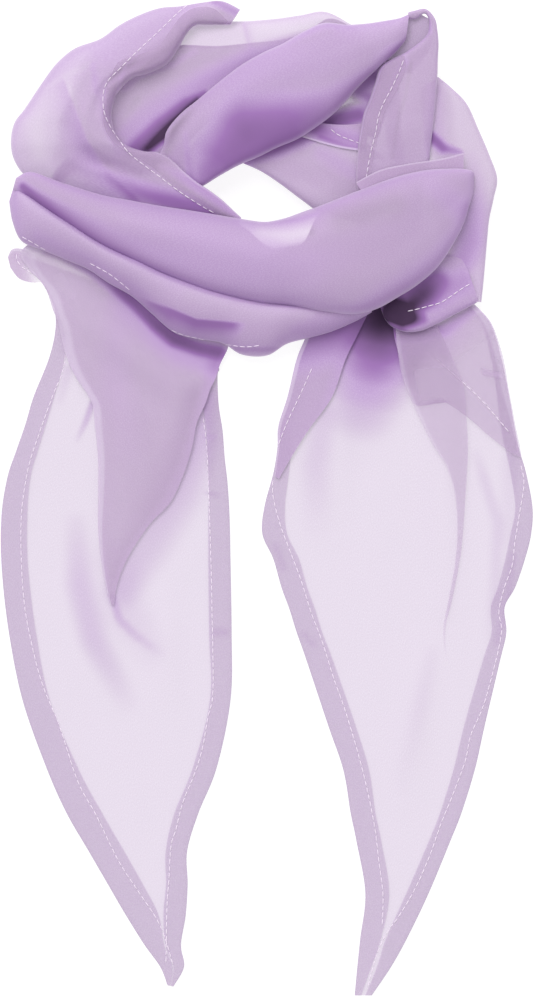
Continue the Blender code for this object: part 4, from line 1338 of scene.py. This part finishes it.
TURNED_SHADES = (
    ((404, 64, 7, 2.0), (394, 80, 7, 1.2), (388, 100, 6, 0.6)),
    ((429, 90, 9, 0.5), (428, 155, 10, 0.8)),
    ((427, 17, 4, 1.5), (430, 34, 4, 1.5)),
    # This one, taking layers away, paints a highlight along the fold line.
    ((410, 66, 4, -0.5), (405, 98, 4, -0.5), (398, 119, 4, -0.5), (392, 158, 4, -0.4)),
)
TURNED_HEM_SHADES = (
    ((376, 86, 5, 0.4), (366, 108, 5, 0.5), (362, 144, 5, 0.5)),
    ((379, 119, 4, 0.7), (385, 124, 4, 0.7)),
)
turned_band = rolled(
    "turned_band_cloth", TURNED_BAND, seed=81.0, shades=TURNED_SHADES, plies=(2.0, 1.4, 0.6, 0.4),
    fade=fade_out(0.86, 1.0),
)
declare_roll("turned_band")
turned_hem = roll_hem(
    "turned_band_hem_cloth", TURNED_BAND, "left", seed=81.0, shades=TURNED_HEM_SHADES,
)
declare_hem("turned_band_hem")
loop_back = flat_fold("loop_back_cloth", LOOP_BACK, (), single_chiffon, weight=1.8)
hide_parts("loop_back")

# The front roll, on top of all the others, with the lip of its upper edge.
FRONT_ROLL = (
    Roll(-150, 192, -152, 185, 17, 15, 18),
    Roll(-141, 195.5, -143, 180, 19, 16, 25),
    Roll(-124, 189.6, -124, 166, 20, 16, 32, 0.08, 0.93),
    Roll(-100, 182, -100, 150.5, 20, 16.5, 36, 0.06, 0.93, 0.5),
    Roll(-82, 178.5, -83, 142, 20, 17, 38, 0.06, 0.93, 0.5),
    Roll(-64, 175.2, -67, 134.5, 20, 17, 39, 0.06, 0.93, 0.5),
    Roll(-45, 172.3, -50, 127.5, 20.5, 17, 40, 0.06, 0.93, 0.5),
    Roll(-28, 169.5, -34, 122, 21, 17, 41, 0.06, 0.93, 0.5),
    Roll(-15, 167.3, -17, 118, 21, 17, 41.5, 0.08, 0.93, 0.5),
    Roll(-3, 165.6, -3, 115.5, 21, 17, 42, 0.25, 0.93, 0.5),
    Roll(4, 166.2, 4, 115, 21, 17, 42, 0.33, 0.93, 0.55),
    Roll(12, 168.2, 12, 114.5, 21, 17, 42, 0.33, 0.93, 0.55),
    Roll(22, 171.8, 22, 113, 21, 18, 42, 0.31, 0.93, 0.55),
    Roll(31, 175, 33, 111.5, 21, 18.5, 42, 0.07, 0.93, 0.5),
    Roll(47, 181.3, 53, 110.5, 22, 18, 41, 0.06, 0.93, 0.5),
    Roll(58, 185.5, 66, 113.8, 22.5, 18, 40, 0.06, 0.93, 0.5),
    Roll(70, 190, 79, 121, 23, 18, 39, 0.06, 0.93, 0.5),
    Roll(81, 193.5, 90, 128, 23, 18, 37, 0.06, 0.93, 0.5),
    Roll(94, 196.3, 101, 137.5, 23, 17.5, 34, 0.06, 0.93, 0.5),
    Roll(106, 197.3, 109, 148.5, 22, 17.5, 31, 0.06, 0.93, 0.5),
    Roll(116, 197.4, 117, 163, 20, 17.5, 27, 0.06, 0.93, 0.5),
    Roll(122, 196.4, 121.5, 177, 18, 17, 22, 0.08, 0.93, 0.5),
    Roll(124, 195, 123.5, 183, 13, 13, 15),
)
FRONT_CREASES = (
    Crease(0.10, 0.55, 0.55, 0.78, 1.0, 0.30),
    Crease(0.50, 0.85, 0.35, 0.62, 0.8, 0.26),
)
FRONT_SHADES = (
    # The first paints shade along the roll's lower side, where it meets the second roll.
    ((24, 188, 8, 7.0), (36, 199, 12, 6.5), (55, 213, 17, 5.4), (80, 230, 24, 4.4), (112, 250, 32, 3.6),
    (150, 268, 40, 2.6), (190, 280, 40, 1.9), (235, 290, 38, 1.5), (280, 294, 34, 1.2), (330, 296, 26, 0.4)),
    ((130, 224, 24, 0.5), (190, 242, 34, 1.3), (250, 260, 34, 1.3), (310, 266, 32, 1.0), (350, 256, 24, 0.2)),
    ((330, 334, 18, 1.2), (366, 312, 22, 1.8), (405, 286, 22, 2.0), (438, 258, 18, 1.6), (457, 232, 14, 1.4),
    (466, 208, 10, 1.2)),
    ((432, 190, 18, 0.9), (458, 208, 22, 1.8)),
    ((236, 221, 5, 0.8), (262, 224, 5, 0.9), (300, 222, 5, 1.1), (317, 216, 4, 1.1)),
    # This one, taking layers away, paints a highlight on the lit upper part of the roll.
    ((340, 220, 24, -1.0), (392, 208, 24, -0.9)),
    ((262, 234, 13, -1.1), (288, 238, 14, -1.2), (309, 233, 11, -1.1)),
)
FRONT_LIP = (
    Laid(53.4, 189, 55.8, 184.8, 20, 21),
    Laid(67.2, 196.2, 70.2, 187, 20, 21),
    Laid(82.8, 199.8, 84.6, 190.6, 20, 21),
    Laid(104.1, 203.1, 104.4, 193.6, 19, 20),
    Laid(117.6, 206.7, 117.6, 196, 17, 18),
)
front_roll = rolled(
    "front_roll_cloth", FRONT_ROLL, FRONT_CREASES, seed=91.0, shades=FRONT_SHADES,
    plies=(2.3, 2.2, 0.7, 0.6), soft=(0, 1, 1),
)
declare_roll("front_roll")
front_lip = flat_fold("front_roll_lip", FRONT_LIP, (), hem_chiffon, weight=1.8)

# The cuff, the hemmed mouth where the right tail comes out of the ring.
CUFF = (
    Roll(68, 115, 70.5, 108, 9, 8.6, 11),
    Roll(70, 117, 75, 103.2, 9, 8.6, 11.5),
    Roll(76, 121, 83, 100.2, 9.5, 8.6, 12),
    Roll(82, 128, 92, 100.8, 10, 8.6, 12.4),
    Roll(90, 137, 101, 104.4, 10.2, 8.6, 12.6),
    Roll(98, 145, 110, 109.2, 10.2, 8.6, 12.6),
    Roll(107, 147, 119, 114, 9.5, 8.5, 12.2),
    Roll(115, 146, 125.4, 117.5, 9, 8.5, 11),
    Roll(119, 141, 126.6, 119, 8.5, 8.5, 10),
)
CUFF_SHADES = (
    # The first two paint shade, near black, into the cuff's hollow and under its lower edge.
    ((386, 300, 18, 18.0), (396, 307, 20, 22.0), (408, 309, 20, 20.0), (420, 296, 22, 12.0),
    (436, 280, 20, 6.0)),
    ((388, 316, 13, 20.0), (402, 322, 13, 20.0), (422, 320, 10, 7.0)),
    ((432, 296, 26, 5.0), (462, 282, 22, 3.0)),
    ((430, 321, 5, 0.9), (472, 303, 5, 0.9)),
)
cuff = rolled("cuff_cloth", CUFF, seed=101.0, shades=CUFF_SHADES, plies=(2.8, 1.4, 0.5, 0.4))
declare_roll("cuff")

# Stitches on the ring, along each stretch of hem that shows.
for stretch, pieces, route in (
    ("left_band_stitches", [left_band, left_hem], (
        (188, 6), (180, 13), (160, 33), (140, 52), (120, 72), (110, 82), (105, 92), (104, 105),
        (106, 117), (112, 130), (120, 142), (130, 155), (145, 167), (160, 178), (180, 193),
        (200, 206), (214, 214),
    )),
    ("turned_band_stitches", [turned_band, turned_hem], (
        (403, 62), (398, 75), (390, 92), (383, 105), (378, 118), (375, 135), (370, 155), (366, 178),
    )),
    ("inner_band_stitches", [inner_hem, inner_band], ((330, 130), (340, 137), (358, 144))),
    ("second_roll_stitches_left", [second_roll], ((22, 237), (45, 250))),
    ("second_roll_stitches_middle", [second_roll], ((90, 264), (110, 275), (128, 289))),
    ("second_roll_stitches_right", [second_roll], (
        (165, 327), (180, 334), (195, 338), (240, 347), (260, 346),
    )),
    ("cuff_stitches", [cuff], (
        (470, 284), (460, 290), (450, 297), (440, 303), (430, 306), (415, 310), (405, 312),
    )),
):
    stitch_row(stretch, route, pieces)
